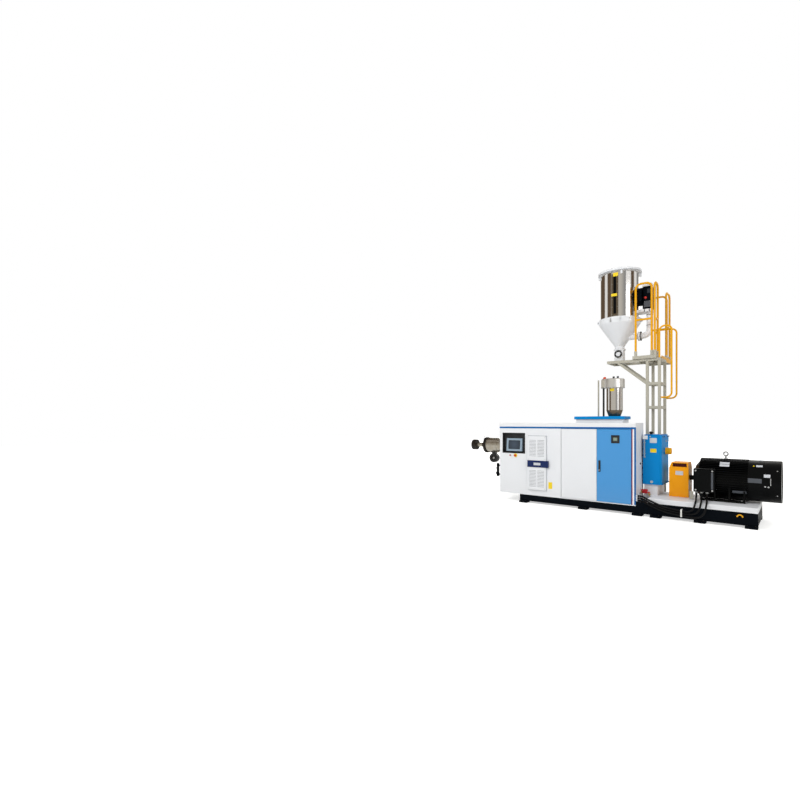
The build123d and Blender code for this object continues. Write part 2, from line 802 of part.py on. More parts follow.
with BuildPart() as motor_cowl:
    rod((motor_body_right, axis_y, cowl_axis_z), (cowl_right, axis_y, cowl_axis_z), cowl_radius)
    fillet(motor_cowl.faces().sort_by(Axis.X)[-1].edges(), cowl_edge_radius)
    rod((cowl_right - cowl_recess, axis_y, cowl_axis_z), (cowl_right, axis_y, cowl_axis_z),
        cowl_radius - cowl_edge_radius - cowl_wall, mode=Mode.SUBTRACT)
save(motor_cowl, "motor_cowl")

# Terminal box on the side of the motor, with the cable glands below
cable_exits = ((905, 345), (985, 345), (1065, 345))
with BuildPart() as terminal_box:
    block(box_left, box_right, box_front_y + box_cover_thickness, box_neck_front_y, box_bottom, box_top)
    fillet(terminal_box.edges().filter_by(Axis.Y), box_edge_radius)
    block(box_left + box_cover_inset, box_right - box_cover_inset, box_front_y,
          box_front_y + box_cover_thickness, box_bottom + box_cover_inset, box_top - box_cover_inset)
    for exit_x, exit_y in cable_exits:
        rod((exit_x, exit_y, box_bottom), (exit_x, exit_y, box_bottom - gland_length), gland_radius)
save(terminal_box, "terminal_box")

# Tower of square tubes behind the gearbox
half_post = post_size / 2
with BuildPart() as tower_posts:
    for post_x in (post_left_x, post_right_x):
        for post_y in (post_front_y, post_back_y):
            block(post_x - half_post, post_x + half_post, post_y - half_post, post_y + half_post,
                  rail_top + foot_plate_thickness, frame_bottom)
            block(post_x - foot_plate_size / 2, post_x + foot_plate_size / 2,
                  post_y - half_post, post_y + foot_plate_size / 2,
                  rail_top, rail_top + foot_plate_thickness)
save(tower_posts, "tower_posts")

with BuildPart() as tower_braces:
    for brace_z in brace_heights:
        for post_y in (post_front_y, post_back_y):
            block(post_left_x + half_post, post_right_x - half_post, post_y - half_post, post_y + half_post,
                  brace_z - half_post, brace_z + half_post)
        for post_x in (post_left_x, post_right_x):
            block(post_x - half_post, post_x + half_post, post_front_y + half_post,
                  post_back_y - half_post, brace_z - half_post, brace_z + half_post)
save(tower_braces, "tower_braces")

# Frame under the hopper, with two inclined struts back to the tower
frame_top = frame_bottom + post_size
frame_front = post_front_y - half_post
frame_back = post_back_y + half_post
strut_end_x = post_left_x - half_post
strut_rise = frame_bottom - strut_bottom_z
strut_slope = strut_rise / (strut_end_x - strut_top_x)
strut_drop = strut_size * (1 + strut_slope ** 2) ** 0.5
with BuildPart() as hopper_frame:
    for beam_y in (post_front_y, post_back_y):
        block(frame_left, post_right_x + half_post, beam_y - half_post, beam_y + half_post,
              frame_bottom, frame_top)
    for beam_x in (frame_left + half_post, seat_plate_right, post_left_x, post_right_x):
        block(beam_x - half_post, beam_x + half_post, frame_front, frame_back, frame_bottom, frame_top)
    block(frame_left, seat_plate_right, frame_front, frame_back, frame_top, frame_top + seat_plate_thickness)
    for beam_y in (post_front_y, post_back_y):
        with BuildSketch(Plane.XZ.offset(-beam_y - strut_size / 2)):
            with BuildLine():
                Polyline((strut_top_x, frame_bottom), (strut_top_x + strut_drop / strut_slope, frame_bottom),
                         (strut_end_x, strut_bottom_z + strut_drop), (strut_end_x, strut_bottom_z),
                         close=True)
            make_face()
        extrude(amount=strut_size)
save(hopper_frame, "hopper_frame")

# Platform deck: plate with edges and joists below, and a toe board on its outer side
deck_top = frame_top + deck_height
with BuildPart() as deck:
    block(deck_left, deck_right, deck_front, deck_back, frame_top, deck_top)
    joist_pitch = (deck_back - deck_front - deck_edge) / (deck_joists + 1)
    for index in range(deck_joists + 1):
        bay_front = deck_front + deck_edge + index * joist_pitch
        if index > 0:
            bay_front += deck_joist_width / 2
        bay_back = deck_front + deck_edge / 2 + (index + 1) * joist_pitch - deck_joist_width / 2
        block(deck_left + deck_edge, deck_right - deck_edge, bay_front, bay_back,
              frame_top, deck_top - deck_plate, mode=Mode.SUBTRACT)
    block(deck_right, deck_right + toe_board_thickness, toe_board_front, deck_back,
          frame_top, frame_top + toe_board_height)
save(deck, "deck")


def hoop(start, end):
    """A guard hoop between two feet on the deck, with a mid rail and foot sockets."""
    across = (Vector(*end) - Vector(*start)).normalized()
    up = Vector(0, 0, 1)
    low_start = Vector(*start)
    low_end = Vector(*end)
    rise = up * rail_height_above_deck
    with BuildPart() as frame:
        with BuildLine() as path:
            FilletPolyline(low_start, low_start + rise, low_end + rise, low_end, radius=rail_corner_radius)
        with BuildSketch(Plane(origin=low_start, x_dir=across, z_dir=up)):
            Circle(rail_tube_radius)
        sweep(path=path.wire())
        middle = up * mid_rail_height
        rod(low_start + middle, low_end + middle, rail_tube_radius)
        for foot in (low_start, low_end):
            rod(foot, foot + up * socket_height, socket_radius)
    return frame.part


rail_front_y = deck_front + rail_inset
rail_back_y = deck_back - rail_inset
rail_side_x = deck_right - rail_inset
hoop_feet = (
    (front_hoop[0], rail_front_y, front_hoop[1], rail_front_y),
    (front_hoop[0], rail_back_y, front_hoop[1], rail_back_y),
    (rail_side_x, side_hoop_front[0], rail_side_x, side_hoop_front[1]),
    (rail_side_x, side_hoop_back[0], rail_side_x, side_hoop_back[1]),
)
with BuildPart() as guard_rails:
    for start_x, start_y, end_x, end_y in hoop_feet:
        add(hoop((start_x, start_y, deck_top), (end_x, end_y, deck_top)))
save(guard_rails, "guard_rails")

# Handrails at both sides of the climb, bent out from the posts and over to the platform
with BuildPart() as ladder_handrails:
    post_face_x = post_right_x + half_post
    for post_y, inner_x, inner_z in ((post_front_y, post_right_x, frame_top),
                                     (post_back_y, back_handrail_x, deck_top)):
        with BuildLine() as handrail_path:
            FilletPolyline((post_face_x, post_y, handrail_bottom), (handrail_out_x, post_y, handrail_bottom),
                           (handrail_out_x, post_y, handrail_top), (inner_x, post_y, handrail_top),
                           (inner_x, post_y, inner_z), radius=handrail_bend)
        with BuildSketch(Plane(origin=(post_face_x, post_y, handrail_bottom), z_dir=(1, 0, 0))):
            Circle(handrail_radius)
        sweep(path=handrail_path.wire())
save(ladder_handrails, "ladder_handrails")

# Dryer hopper: steel shell, lid with its clamps below the rim, and cone
with BuildPart() as hopper_body:
    rod((hopper_x, hopper_y, hopper_bottom), (hopper_x, hopper_y, hopper_top), hopper_radius)
    rod((hopper_x, hopper_y, hopper_bottom), (hopper_x, hopper_y, hopper_top),
        hopper_radius - hopper_wall, mode=Mode.SUBTRACT)
save(hopper_body, "hopper_body")

with BuildPart() as hopper_lid:
    with Locations((hopper_x, hopper_y, hopper_top - lid_clamp_size)):
        with PolarLocations(hopper_radius + lid_clamp_size / 2, lid_clamp_count,
                            start_angle=lid_clamp_start):
            Box(lid_clamp_size + 2 * hopper_wall, lid_clamp_size, 2 * lid_clamp_size)
    rod((hopper_x, hopper_y, hopper_bottom), (hopper_x, hopper_y, hopper_top),
        hopper_radius, mode=Mode.SUBTRACT)
    with BuildSketch(Plane.XZ.offset(-hopper_y)):
        with BuildLine():
            Polyline((hopper_x, hopper_top), (hopper_x + lid_radius, hopper_top),
                     (hopper_x + lid_radius, hopper_top + lid_band),
                     (hopper_x + lid_radius - lid_band, hopper_top + lid_band + lid_rise / 2),
                     (hopper_x, hopper_top + lid_band + lid_rise), close=True)
        make_face()
    revolve(axis=Axis((hopper_x, hopper_y, 0), (0, 0, 1)))
save(hopper_lid, "hopper_lid")

cone_top = hopper_bottom - ring_height
cone_bottom = cone_top - cone_height
neck_bottom = cone_bottom - neck_height
with BuildPart() as hopper_cone:
    with BuildSketch(Plane.XZ.offset(-hopper_y)):
        with BuildLine():
            Polyline((hopper_x + cone_outlet_radius - hopper_wall, neck_bottom),
                     (hopper_x + cone_outlet_radius, neck_bottom),
                     (hopper_x + cone_outlet_radius, cone_bottom), (hopper_x + ring_radius, cone_top),
                     (hopper_x + ring_radius, hopper_bottom),
                     (hopper_x + hopper_radius - hopper_wall, hopper_bottom),
                     (hopper_x + hopper_radius - hopper_wall, cone_top),
                     (hopper_x + cone_outlet_radius - hopper_wall, cone_bottom), close=True)
        make_face()
    revolve(axis=Axis((hopper_x, hopper_y, 0), (0, 0, 1)))
save(hopper_cone, "hopper_cone")

seat_top = frame_top + seat_plate_thickness
port_face_y = hopper_y - outlet_block_size / 2
with BuildPart() as hopper_outlet:
    rod((hopper_x, hopper_y, neck_bottom - outlet_flange_height), (hopper_x, hopper_y, neck_bottom),
        outlet_flange_radius)
    block(hopper_x - outlet_block_size / 2, hopper_x + outlet_block_size / 2,
          hopper_y - outlet_block_size / 2, hopper_y + outlet_block_size / 2,
          seat_top, neck_bottom - outlet_flange_height)
    rod((hopper_x, port_face_y, port_z), (hopper_x, port_face_y - port_length, port_z), port_radius)
    rod((hopper_x, port_face_y - port_length / 2, port_z), (hopper_x, port_face_y - port_length, port_z),
        port_bore_radius, mode=Mode.SUBTRACT)
save(hopper_outlet, "hopper_outlet")

with BuildPart() as sight_glass:
    sight_x = hopper_x + sight_x_offset
    sight_face_y = hopper_y - hopper_radius - sight_depth / 2
    block(sight_x - sight_width / 2, sight_x + sight_width / 2, sight_face_y,
          hopper_y - hopper_radius + sight_depth, sight_bottom, sight_top)
    rod((hopper_x, hopper_y, sight_bottom), (hopper_x, hopper_y, sight_top), hopper_radius,
        mode=Mode.SUBTRACT)
    block(sight_x - sight_slot_width / 2, sight_x + sight_slot_width / 2, sight_face_y,
          sight_face_y + sight_slot_depth, sight_bottom + sight_slot_width,
          sight_top - sight_slot_width, mode=Mode.SUBTRACT)
save(sight_glass, "sight_glass")

# Hot air unit beside the hopper: heater box with its fan, and the shelf with its duct
shelf_front = hopper_y - shelf_depth / 2
shelf_back = hopper_y + shelf_depth / 2
shelf_top = shelf_bottom + shelf_thickness
with BuildPart() as heater_box:
    block(heater_box_left, shelf_right, shelf_front, shelf_back, shelf_top, shelf_top + heater_box_height)
    fillet(heater_box.edges().filter_by(Axis.Z), heater_box_radius)
    rod((heater_box_left - dryer_fan_width, dryer_fan_y, dryer_fan_z),
        (heater_box_left, dryer_fan_y, dryer_fan_z), dryer_fan_radius)
save(heater_box, "heater_box")

with BuildPart() as air_duct:
    block(hopper_x, shelf_right, shelf_front, shelf_back, shelf_bottom, shelf_top)
    rod((hopper_x, hopper_y, shelf_bottom), (hopper_x, hopper_y, shelf_top), hopper_radius,
        mode=Mode.SUBTRACT)
    with BuildLine() as duct_path:
        FilletPolyline((duct_x, hopper_y, shelf_bottom), (duct_x, hopper_y, duct_z),
                       (hopper_x + cone_outlet_radius, hopper_y, duct_z), radius=duct_bend)
    with BuildSketch(Plane(origin=(duct_x, hopper_y, shelf_bottom), z_dir=(0, 0, -1))):
        Circle(duct_radius)
    sweep(path=duct_path.wire())
    rod((duct_flange_x - duct_flange_width / 2, hopper_y, duct_z),
        (duct_flange_x + duct_flange_width / 2, hopper_y, duct_z), duct_flange_radius)
    with BuildSketch(Plane.XZ.offset(-hopper_y)):
        with BuildLine():
            Polyline((hopper_x, cone_bottom - duct_bend),
                     (hopper_x + cone_outlet_radius + seat_clearance, cone_bottom - duct_bend),
                     (hopper_x + cone_outlet_radius + seat_clearance, cone_bottom),
                     (hopper_x + ring_radius + seat_clearance, cone_top), (hopper_x, cone_top),
                     close=True)
        make_face()
    revolve(axis=Axis((hopper_x, hopper_y, 0), (0, 0, 1)), mode=Mode.SUBTRACT)
save(air_duct, "air_duct")

# Power cables from the terminal box, down the front of the bed and along to the cabinet
cable_routes = (
    ((905, 345, 465), (905, 345, 425), (906, 318, 385), (911, 262, 361), (921, 180, 354),
     (932, 98, 355), (941, 32, 357), (946, -26, 350), (943, -67, 316), (934, -88, 267),
     (912, -96, 219), (872, -92, 188), (818, -80, 174), (752, -67, 177), (684, -59, 185),
     (610, -56, 194), (530, -56, 206), (448, -56, 227), (364, -56, 256), (283, -56, 290),
     (208, -55, 323), (152, -33, 347), (113, 8, 357), (70, 30, 358), (25, 30, 358)),
    ((985, 345, 465), (985, 345, 425), (986, 318, 385), (991, 262, 361), (1001, 180, 354),
     (1012, 98, 355), (1021, 32, 357), (1026, -26, 350), (1024, -67, 316), (1018, -90, 267),
     (1002, -99, 215), (968, -98, 171), (918, -88, 144), (856, -76, 134), (786, -65, 136),
     (710, -59, 144), (625, -56, 152), (535, -56, 165), (448, -56, 186), (364, -56, 215),
     (283, -56, 249), (208, -55, 282), (152, -33, 306), (113, 8, 316), (70, 30, 317), (25, 30, 317)),
    ((1065, 345, 465), (1065, 345, 425), (1066, 318, 385), (1071, 262, 361), (1081, 180, 354),
     (1092, 98, 355), (1101, 32, 357), (1106, -26, 350), (1105, -67, 316), (1101, -92, 266),
     (1091, -104, 211), (1066, -107, 159), (1024, -101, 119), (968, -90, 98), (900, -77, 92),
     (825, -66, 95), (745, -59, 102), (655, -56, 110), (550, -56, 121), (448, -56, 145),
     (364, -56, 174), (283, -56, 208), (208, -55, 241), (152, -33, 265), (113, 8, 275),
     (70, 30, 276), (25, 30, 276)),
)


def corner_radii(points):
    """The largest gentle radius at each inner point of a cable's route."""
    radii = []
    for index in range(1, len(points) - 1):
        before = Vector(*points[index]) - Vector(*points[index - 1])
        after = Vector(*points[index + 1]) - Vector(*points[index])
        turn = before.get_angle(after)
        shorter = min(before.length, after.length)
        radii.append(0.45 * shorter / tan(radians(turn) / 2))
    return radii


def cable(points):
    """A round cable along straight runs joined by tangent arcs."""
    radii = corner_radii(points)
    print("cable radii", [round(radius) for radius in radii])
    with BuildPart() as tube:
        with BuildLine() as route:
            FilletPolyline(*points, radius=radii)
        start = Vector(*points[0])
        with BuildSketch(Plane(origin=start, z_dir=Vector(*points[1]) - start)):
            Circle(cable_radius)
        sweep(path=route.wire())
    length = route.wire().length
    section = pi * cable_radius ** 2
    print("cable length", round(length), "volume ratio", round(tube.part.volume / (section * length), 4))
    return tube


for number, route_points in enumerate(cable_routes, start=1):
    power_cable = cable(route_points)
    save(power_cable, f"power_cable_{number}")

# White strap that holds the cables to the frame
with BuildPart() as cable_strap:
    block(tie_x - tie_width / 2, tie_x + tie_width / 2, -tie_out, 0, tie_bottom, tie_top)
    block(tie_x - tie_width / 2, tie_x + tie_width / 2, -tie_out + tie_wall, 0,
          tie_bottom + tie_wall, tie_top - tie_wall, mode=Mode.SUBTRACT)
save(cable_strap, "cable_strap")
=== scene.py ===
# %% [markdown]
# A single-screw plastic extruder, dressed for rendering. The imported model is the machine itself:
# base, cabinet, gearbox, motor, tower and hopper stand where they are. This lesson gives each of
# them its finish and adds what is too small or too thin for the solids: bolts, blank plates, glass,
# seals, slats and cables. Places are in metres, with +X to the motor and +Z up. The profiles of
# turned parts, the radii of bars and the bevels are in millimetres.

# %% Load the machine
import itertools
import math

import bmesh
import bpy
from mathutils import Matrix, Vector


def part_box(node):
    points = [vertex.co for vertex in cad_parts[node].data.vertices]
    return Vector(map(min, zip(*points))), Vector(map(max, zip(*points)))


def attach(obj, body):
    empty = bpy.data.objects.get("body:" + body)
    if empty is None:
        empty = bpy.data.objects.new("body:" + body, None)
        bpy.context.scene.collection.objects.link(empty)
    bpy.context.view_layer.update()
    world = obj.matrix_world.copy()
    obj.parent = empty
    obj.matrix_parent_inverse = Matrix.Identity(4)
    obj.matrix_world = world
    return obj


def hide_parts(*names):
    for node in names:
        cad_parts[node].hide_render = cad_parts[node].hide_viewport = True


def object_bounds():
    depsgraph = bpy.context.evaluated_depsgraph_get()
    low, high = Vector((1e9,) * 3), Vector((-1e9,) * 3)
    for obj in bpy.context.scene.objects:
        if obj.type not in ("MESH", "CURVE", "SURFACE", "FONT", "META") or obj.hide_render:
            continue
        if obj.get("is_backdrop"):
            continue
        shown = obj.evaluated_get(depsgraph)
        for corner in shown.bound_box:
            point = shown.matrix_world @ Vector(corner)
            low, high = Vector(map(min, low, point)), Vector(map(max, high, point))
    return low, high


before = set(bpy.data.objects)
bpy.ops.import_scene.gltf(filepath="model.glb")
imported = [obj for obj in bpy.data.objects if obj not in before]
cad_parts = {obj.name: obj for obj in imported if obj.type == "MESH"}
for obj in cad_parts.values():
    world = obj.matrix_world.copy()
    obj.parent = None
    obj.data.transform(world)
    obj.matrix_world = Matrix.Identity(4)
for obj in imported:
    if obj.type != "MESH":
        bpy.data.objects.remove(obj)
cad_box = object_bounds()


def stand(name, data):
    """Put a mesh, a curve, a lamp or a camera into the scene as an object."""
    made = bpy.data.objects.new(name, data)
    bpy.context.scene.collection.objects.link(made)
    return made


# %% [markdown]
# The picture was taken from about eye height, level, with the machine at the right of a wide view.
# A level camera keeps the posts upright. Its lens and place are the ones at which the base, the
# doors and the tower posts fall on the same spots as in the picture, and a small upward shift
# puts the horizon where it belongs without tilting the camera.

# %% Camera
FRAME_PIXELS = 800
EYE_HEIGHT = 1.70
HORIZON_BELOW_MIDDLE = 23
camera_data = bpy.data.cameras.new("camera")
camera_data.lens = 21.1
camera_data.sensor_width = 36.0
camera_data.shift_y = HORIZON_BELOW_MIDDLE / FRAME_PIXELS
camera_data.clip_end = 200.0
camera = stand("camera", camera_data)
camera.location = (2.30, -9.38, EYE_HEIGHT)
camera.rotation_euler = (math.radians(90), 0, math.radians(40.46))
bpy.context.scene.camera = camera
print("lens", camera_data.lens, "mm, horizon", HORIZON_BELOW_MIDDLE, "pixels below the middle")

# %% [markdown]
# Colours are written as sRGB hex values, the way a paint chart or a screen gives them, while
# shaders work in linear light. One function turns the first into the second. The others each add
# a node that comes back often: clouds or grain, a new range for a value, a mix of two colours.

# %% Colour and node helpers
def linear(hex_code):
    """A paint chart's hex value as linear red, green, blue and alpha."""
    channels = [int(hex_code[i:i + 2], 16) / 255 for i in (1, 3, 5)]
    return [c / 12.92 if c <= 0.04045 else ((c + 0.055) / 1.055) ** 2.4 for c in channels] + [1.0]


def add_node(tree, kind, inputs=None, **settings):
    """Add one node, set its properties, then fill or link its inputs by name or number."""
    made = tree.nodes.new(kind)
    for key, value in settings.items():
        setattr(made, key, value)
    for key, value in (inputs or {}).items():
        if isinstance(value, bpy.types.NodeSocket):
            tree.links.new(value, made.inputs[key])
        else:
            made.inputs[key].default_value = value
    return made


def noise(tree, place, size_mm, detail):
    """Clouds or grain whose features are about this many millimetres."""
    return add_node(tree, "ShaderNodeTexNoise", {"Vector": place, "Scale": 1000.0 / size_mm,
                    "Detail": detail}).outputs["Fac"]


def ranged(tree, value, low, high, new_low=0.0, new_high=1.0):
    """A value taken from one range to another."""
    return add_node(tree, "ShaderNodeMapRange", {"Value": value, "From Min": low, "From Max": high,
                    "To Min": new_low, "To Max": new_high}).outputs[0]


def blend(tree, share, first, second):
    """Two colours mixed by a share."""
    return add_node(tree, "ShaderNodeMix", {"Factor": share, 6: first, 7: second},
                    data_type="RGBA").outputs[2]


def maths(tree, operation, *values):
    """One step of arithmetic."""
    return add_node(tree, "ShaderNodeMath", dict(enumerate(values)), operation=operation).outputs[0]


def new_material(name):
    """An empty material, its tree, and the coordinates that its patterns follow."""
    material = bpy.data.materials.new(name)
    material.use_nodes = True
    material.node_tree.nodes.clear()
    place = add_node(material.node_tree, "ShaderNodeTexCoord").outputs["Object"]
    return material, material.node_tree, place


def close(material, tree, inputs, grain=None, strength=0.0, height=0.0):
    """Close a material with its skin. A grain, if there is one, stands out of it by the height."""
    if grain is not None:
        inputs["Normal"] = add_node(tree, "ShaderNodeBump", {"Height": grain, "Strength": strength,
                                    "Distance": height}).outputs[0]
    skin = add_node(tree, "ShaderNodeBsdfPrincipled", inputs)
    add_node(tree, "ShaderNodeOutputMaterial", {"Surface": skin.outputs[0]})
    return material

# %% [markdown]
# Most of the machine is painted sheet steel. Powder coat is sprayed as dry grains and baked, so
# it flows into a skin with a faint orange peel. To the eye that gives a soft highlight whose edge
# is slightly uneven. Large pale clouds stand for the way a big panel is never quite even, and a
# little grey dust settles low down, near the floor. The real peel is about 2 mm, too fine to show
# at this distance, so it is drawn at 9 mm. The dark paints are semi-gloss and mirror less of the
# bright room than the light ones, so their specular level is lower.

# %% Painted steel
def painted_steel(name, hex_code, roughness=0.38, clouds=0.05, dust=0.10, shine=0.5):
    """Powder coat or enamel on steel sheet, with peel, clouds, fine scuffs and dust low down."""
    material, tree, place = new_material(name)
    darker = [c * (1 - 2 * clouds) for c in linear(hex_code)[:3]] + [1.0]
    base = blend(tree, noise(tree, place, 700, 3.0), darker, linear(hex_code))
    height = add_node(tree, "ShaderNodeSeparateXYZ", {0: place}).outputs["Z"]
    near_floor = ranged(tree, height, 0.55, 0.05, 0.0, dust)
    dusty = maths(tree, "MULTIPLY", near_floor, noise(tree, place, 60, 6.0))
    rough = ranged(tree, noise(tree, place, 180, 8.0), 0.3, 0.7, roughness - 0.07, roughness + 0.07)
    return close(material, tree, {"Base Color": blend(tree, dusty, base, linear("#B9B2A6")),
                 "Roughness": rough, "IOR": 1.5, "Specular IOR Level": shine},
                 noise(tree, place, 9.0, 1.0), 0.25, 0.0004)


# After the colour come the roughness, the clouds, the dust and the shine.
white_powder = painted_steel("white powder coat", "#E9EBEF", 0.38, 0.02, 0.10, 0.4)
roof_powder = painted_steel("white powder coat on the roof", "#ECEDEF", 0.42, 0.02, 0.0)
door_blue_powder = painted_steel("light blue powder coat", "#4A97D6", 0.36, 0.03, 0.10, 0.35)
trim_blue_powder = painted_steel("signal blue powder coat", "#0D61A6", 0.36, 0.03, 0.10, 0.3)
navy_powder = painted_steel("navy powder coat", "#0E2458", 0.40, 0.04, 0.10, 0.3)
gear_blue_enamel = painted_steel("gearbox blue enamel", "#0089D3", 0.42, 0.05, 0.10, 0.12)
black_enamel = painted_steel("black machine enamel", "#060B12", 0.42, 0.10, 0.0, 0.05)
motor_enamel = painted_steel("black motor enamel", "#040506", 0.36, 0.12, 0.0, 0.10)
rail_yellow_enamel = painted_steel("safety yellow enamel", "#EDAB07", 0.28, 0.04, 0.10, 0.25)
guard_orange_powder = painted_steel("melon yellow powder coat", "#FFA80A", 0.36, 0.03, 0.10,
                                    0.18)
tower_grey_enamel = painted_steel("pebble grey enamel", "#BDB9AB", 0.45, 0.08, 0.10, 0.35)
print("paints", len(bpy.data.materials))

# %% [markdown]
# The dryer hopper and the loader are rolled from mirror-finished stainless sheet. What the eye
# sees on such a drum is the room, squeezed into upright bands, so the finish is nearly a mirror:
# low roughness, with a very fine upright grain from the rolling. The barrel's end is machined
# steel that has been hot, so it is duller and a little brown in clouds.

# %% Metals
def bare_metal(name, hex_code, roughness, grain_mm, stretch, tarnish_hex=None, tarnish=0.0):
    """Uncoated metal with a grain drawn out along one axis, and clouds of heat or handling."""
    material, tree, place = new_material(name)
    drawn = add_node(tree, "ShaderNodeMapping", {"Vector": place, "Scale": stretch}).outputs[0]
    grain = noise(tree, drawn, grain_mm, 2.0)
    worn = ranged(tree, noise(tree, place, 120, 5.0), 0.45, 0.7, 0.0, tarnish)
    colour = blend(tree, worn, linear(hex_code), linear(tarnish_hex or hex_code))
    rough = ranged(tree, grain, 0.3, 0.7, roughness * 0.75, roughness * 1.25)
    return close(material, tree, {"Base Color": colour, "Metallic": 1.0, "Roughness": rough},
                 grain, 0.12, 0.0002)


satin_stainless = bare_metal("satin stainless lid", "#E6E4E0", 0.38, 4, (1, 1, 1))
# This stainless is darkened brown, a painted reflection of dark surroundings. It goes on the sight glass's cover and
# the loader's cone.
stainless_painted_reflection = bare_metal("brushed stainless darkened as painted reflection", "#75695A", 0.30, 4, (1, 1, 0.05))
mirror_stainless = bare_metal("mirror stainless sheet", "#D9D6D2", 0.10, 4, (1, 1, 0.02))
turned_steel = bare_metal("turned barrel steel", "#C4BFB4", 0.30, 3, (1, 0.1, 0.1),
                          "#8F7A5C", 0.5)
zinc_steel = bare_metal("zinc-plated steel", "#C9CACB", 0.34, 12, (1, 1, 1), "#A9AAA2", 0.4)
blackened_steel = bare_metal("blackened steel", "#3A3836", 0.42, 6, (1, 1, 1), "#57493B", 0.4)
brass = bare_metal("cast brass", "#C9A24C", 0.30, 8, (1, 1, 1), "#8C6B2E", 0.5)

# %% [markdown]
# The small parts are plastics: black ABS for handles, blowers and instrument cases, a bluish
# grey for the screen's frame, glossy red for buttons. Moulded plastic has a spark-eroded texture
# of about 0.3 mm, drawn here at 3 mm. Cable jackets and seals are black rubber, dull and a little
# chalky. One function covers them, with the grit, the gloss and the colour as its inputs.

# %% Plastics and rubber
def moulded(name, hex_code, roughness, chalk=0.06, ior=1.46, grit_mm=3.0, grit_height=0.0003):
    """Moulded plastic or rubber with its mould texture and a faint chalky bloom."""
    material, tree, place = new_material(name)
    amount = ranged(tree, noise(tree, place, 90, 4.0), 0.4, 0.75, 0.0, chalk)
    colour = blend(tree, amount, linear(hex_code), linear("#9C9C98"))
    return close(material, tree, {"Base Color": colour, "Roughness": roughness, "IOR": ior},
                 noise(tree, place, grit_mm, 2.0), 0.3, grit_height)


black_abs = moulded("black ABS", "#131416", 0.42)
blower_abs = moulded("black blower housing", "#16171A", 0.34)
screen_grey_abs = moulded("screen frame ABS", "#8FA3B4", 0.45)
screen_grey_dark = moulded("dark grey plate", "#4A4E55", 0.45, 0.03)
recess_black = moulded("matt black recess lining", "#1B1D21", 0.55)
nylon_white = moulded("white nylon strap", "#E8E8E4", 0.45, 0.02)
lens_orange = moulded("orange lamp lens", "#DE4208", 0.18, 0.0, 1.49, grit_height=0.0001)
button_red = moulded("red push button", "#C9291D", 0.28, 0.0, 1.49, grit_height=0.0001)
label_yellow = moulded("blank yellow polyester plate", "#F2D21B", 0.40, 0.02)
label_silver = moulded("blank silver polyester plate", "#C9CCD2", 0.36, 0.03)
cable_rubber = moulded("black cable rubber", "#060607", 0.55, 0.0, 1.3, grit_mm=5.0)
seal_rubber = moulded("black door seal", "#17181A", 0.62, 0.05, 1.52)
seal_grey = moulded("grey foam gasket", "#B4B8BD", 0.70, 0.05, 1.5)
handle_red_vinyl = moulded("red vinyl handle sleeve", "#C8202A", 0.35, 0.04)
stripe_red = moulded("red pinstripe film", "#A8324A", 0.35, 0.0)
stripe_white = moulded("white pinstripe film", "#F0F2F5", 0.35, 0.0)

# %% [markdown]
# The display and the meter's window are glass over something dark. Clear glass would need the
# parts behind it, so both are modelled as dark, very smooth panes: the eye reads the sharp
# highlight as glass. Each is a little lighter in its middle, a painted sheen.

# %% Dark glass
def dark_glass(name, edge_hex, painted_sheen_hex, middle, reach):
    """A dark pane that is slightly lighter round one point, a painted sheen."""
    material, tree, place = new_material(name)
    away = add_node(tree, "ShaderNodeVectorMath", {0: place, 1: middle}, operation="DISTANCE")
    fade = ranged(tree, away.outputs["Value"], 0.0, reach)
    return close(material, tree, {"Base Color": blend(tree, fade, linear(painted_sheen_hex), linear(edge_hex)),
                 "Roughness": 0.06, "IOR": 1.52})


# Both panes are lighter round their middles, a painted sheen.
display_glass = dark_glass("display glass", "#1E2630", "#3C4A5A", (-2.445, 0.03, 1.23), 0.20)
meter_glass = dark_glass("meter window", "#5E6E64", "#93A394", (-0.354, 0.0, 1.393), 0.07)
print("materials", len(bpy.data.materials))

# %% [markdown]
# Each solid of the machine keeps its shape and takes the finish that its real piece has. The
# solids' own order of materials is replaced by that one finish. Where one solid has two colours
# on the real machine, thin painted skins over it come later.

# %% Finishes of the solids
finishes = {
    white_powder: "cabinet_floor cabinet_walls control_housing cooling_unit motor_bed white_door "
                  "rear_housing air_duct hopper_cone hopper_lid hopper_outlet",
    roof_powder: "roof",
    door_blue_powder: "blue_door",
    trim_blue_powder: "blue_trim",
    gear_blue_enamel: "gearbox feed_cover",
    black_enamel: "base_cross_members base_rails drive_frame floor_pads heater_box",
    motor_enamel: "motor_body motor_cowl terminal_box",
    rail_yellow_enamel: "guard_rails ladder_handrails",
    guard_orange_powder: "coupling_guard",
    tower_grey_enamel: "tower_posts tower_braces hopper_frame deck",
    mirror_stainless: "hopper_body loader_body",
    satin_stainless: "loader_cap",
    stainless_painted_reflection: "sight_glass",
    turned_steel: "head_clamp melt_adapter adapter_neck",
    blackened_steel: "adapter_flange",
    zinc_steel: "lifting_eye",
    blower_abs: "barrel_blower",
    black_abs: "door_handle panel_meter loader_pipes",
    screen_grey_abs: "hmi_panel",
    button_red: "push_buttons",
    nylon_white: "cable_strap",
}
for finish, names in finishes.items():
    for name in names.split():
        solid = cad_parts[name]
        solid.data.materials.clear()
        solid.data.materials.append(finish)
print("solids with a finish", sum(len(names.split()) for names in finishes.values()))

# %% [markdown]
# Small parts are closed forms between outlines: two equal outlines make a plate, a row of circles
# makes a turned part, and a row whose end joins its start makes a sleeve or a frame. A piece is a
# list of such forms, given as steps of a function and its numbers. It gets a bevel, so that every
# edge catches light as a pressed or moulded edge does, and rides on its body.

# %% Helpers for small parts
BODY, WHITE_LEAF, BLUE_LEAF = "extruder", "white_door_leaf", "blue_door_leaf"
UP, DOWN, FRONT, BACK, RIGHT, LEFT = (0, 0, 1), (0, 0, -1), (0, -1, 0), (0, 1, 0), (1, 0, 0), (-1, 0, 0)
SQUARE = ((-1, -1), (1, -1), (1, 1), (-1, 1))
MM = 1000


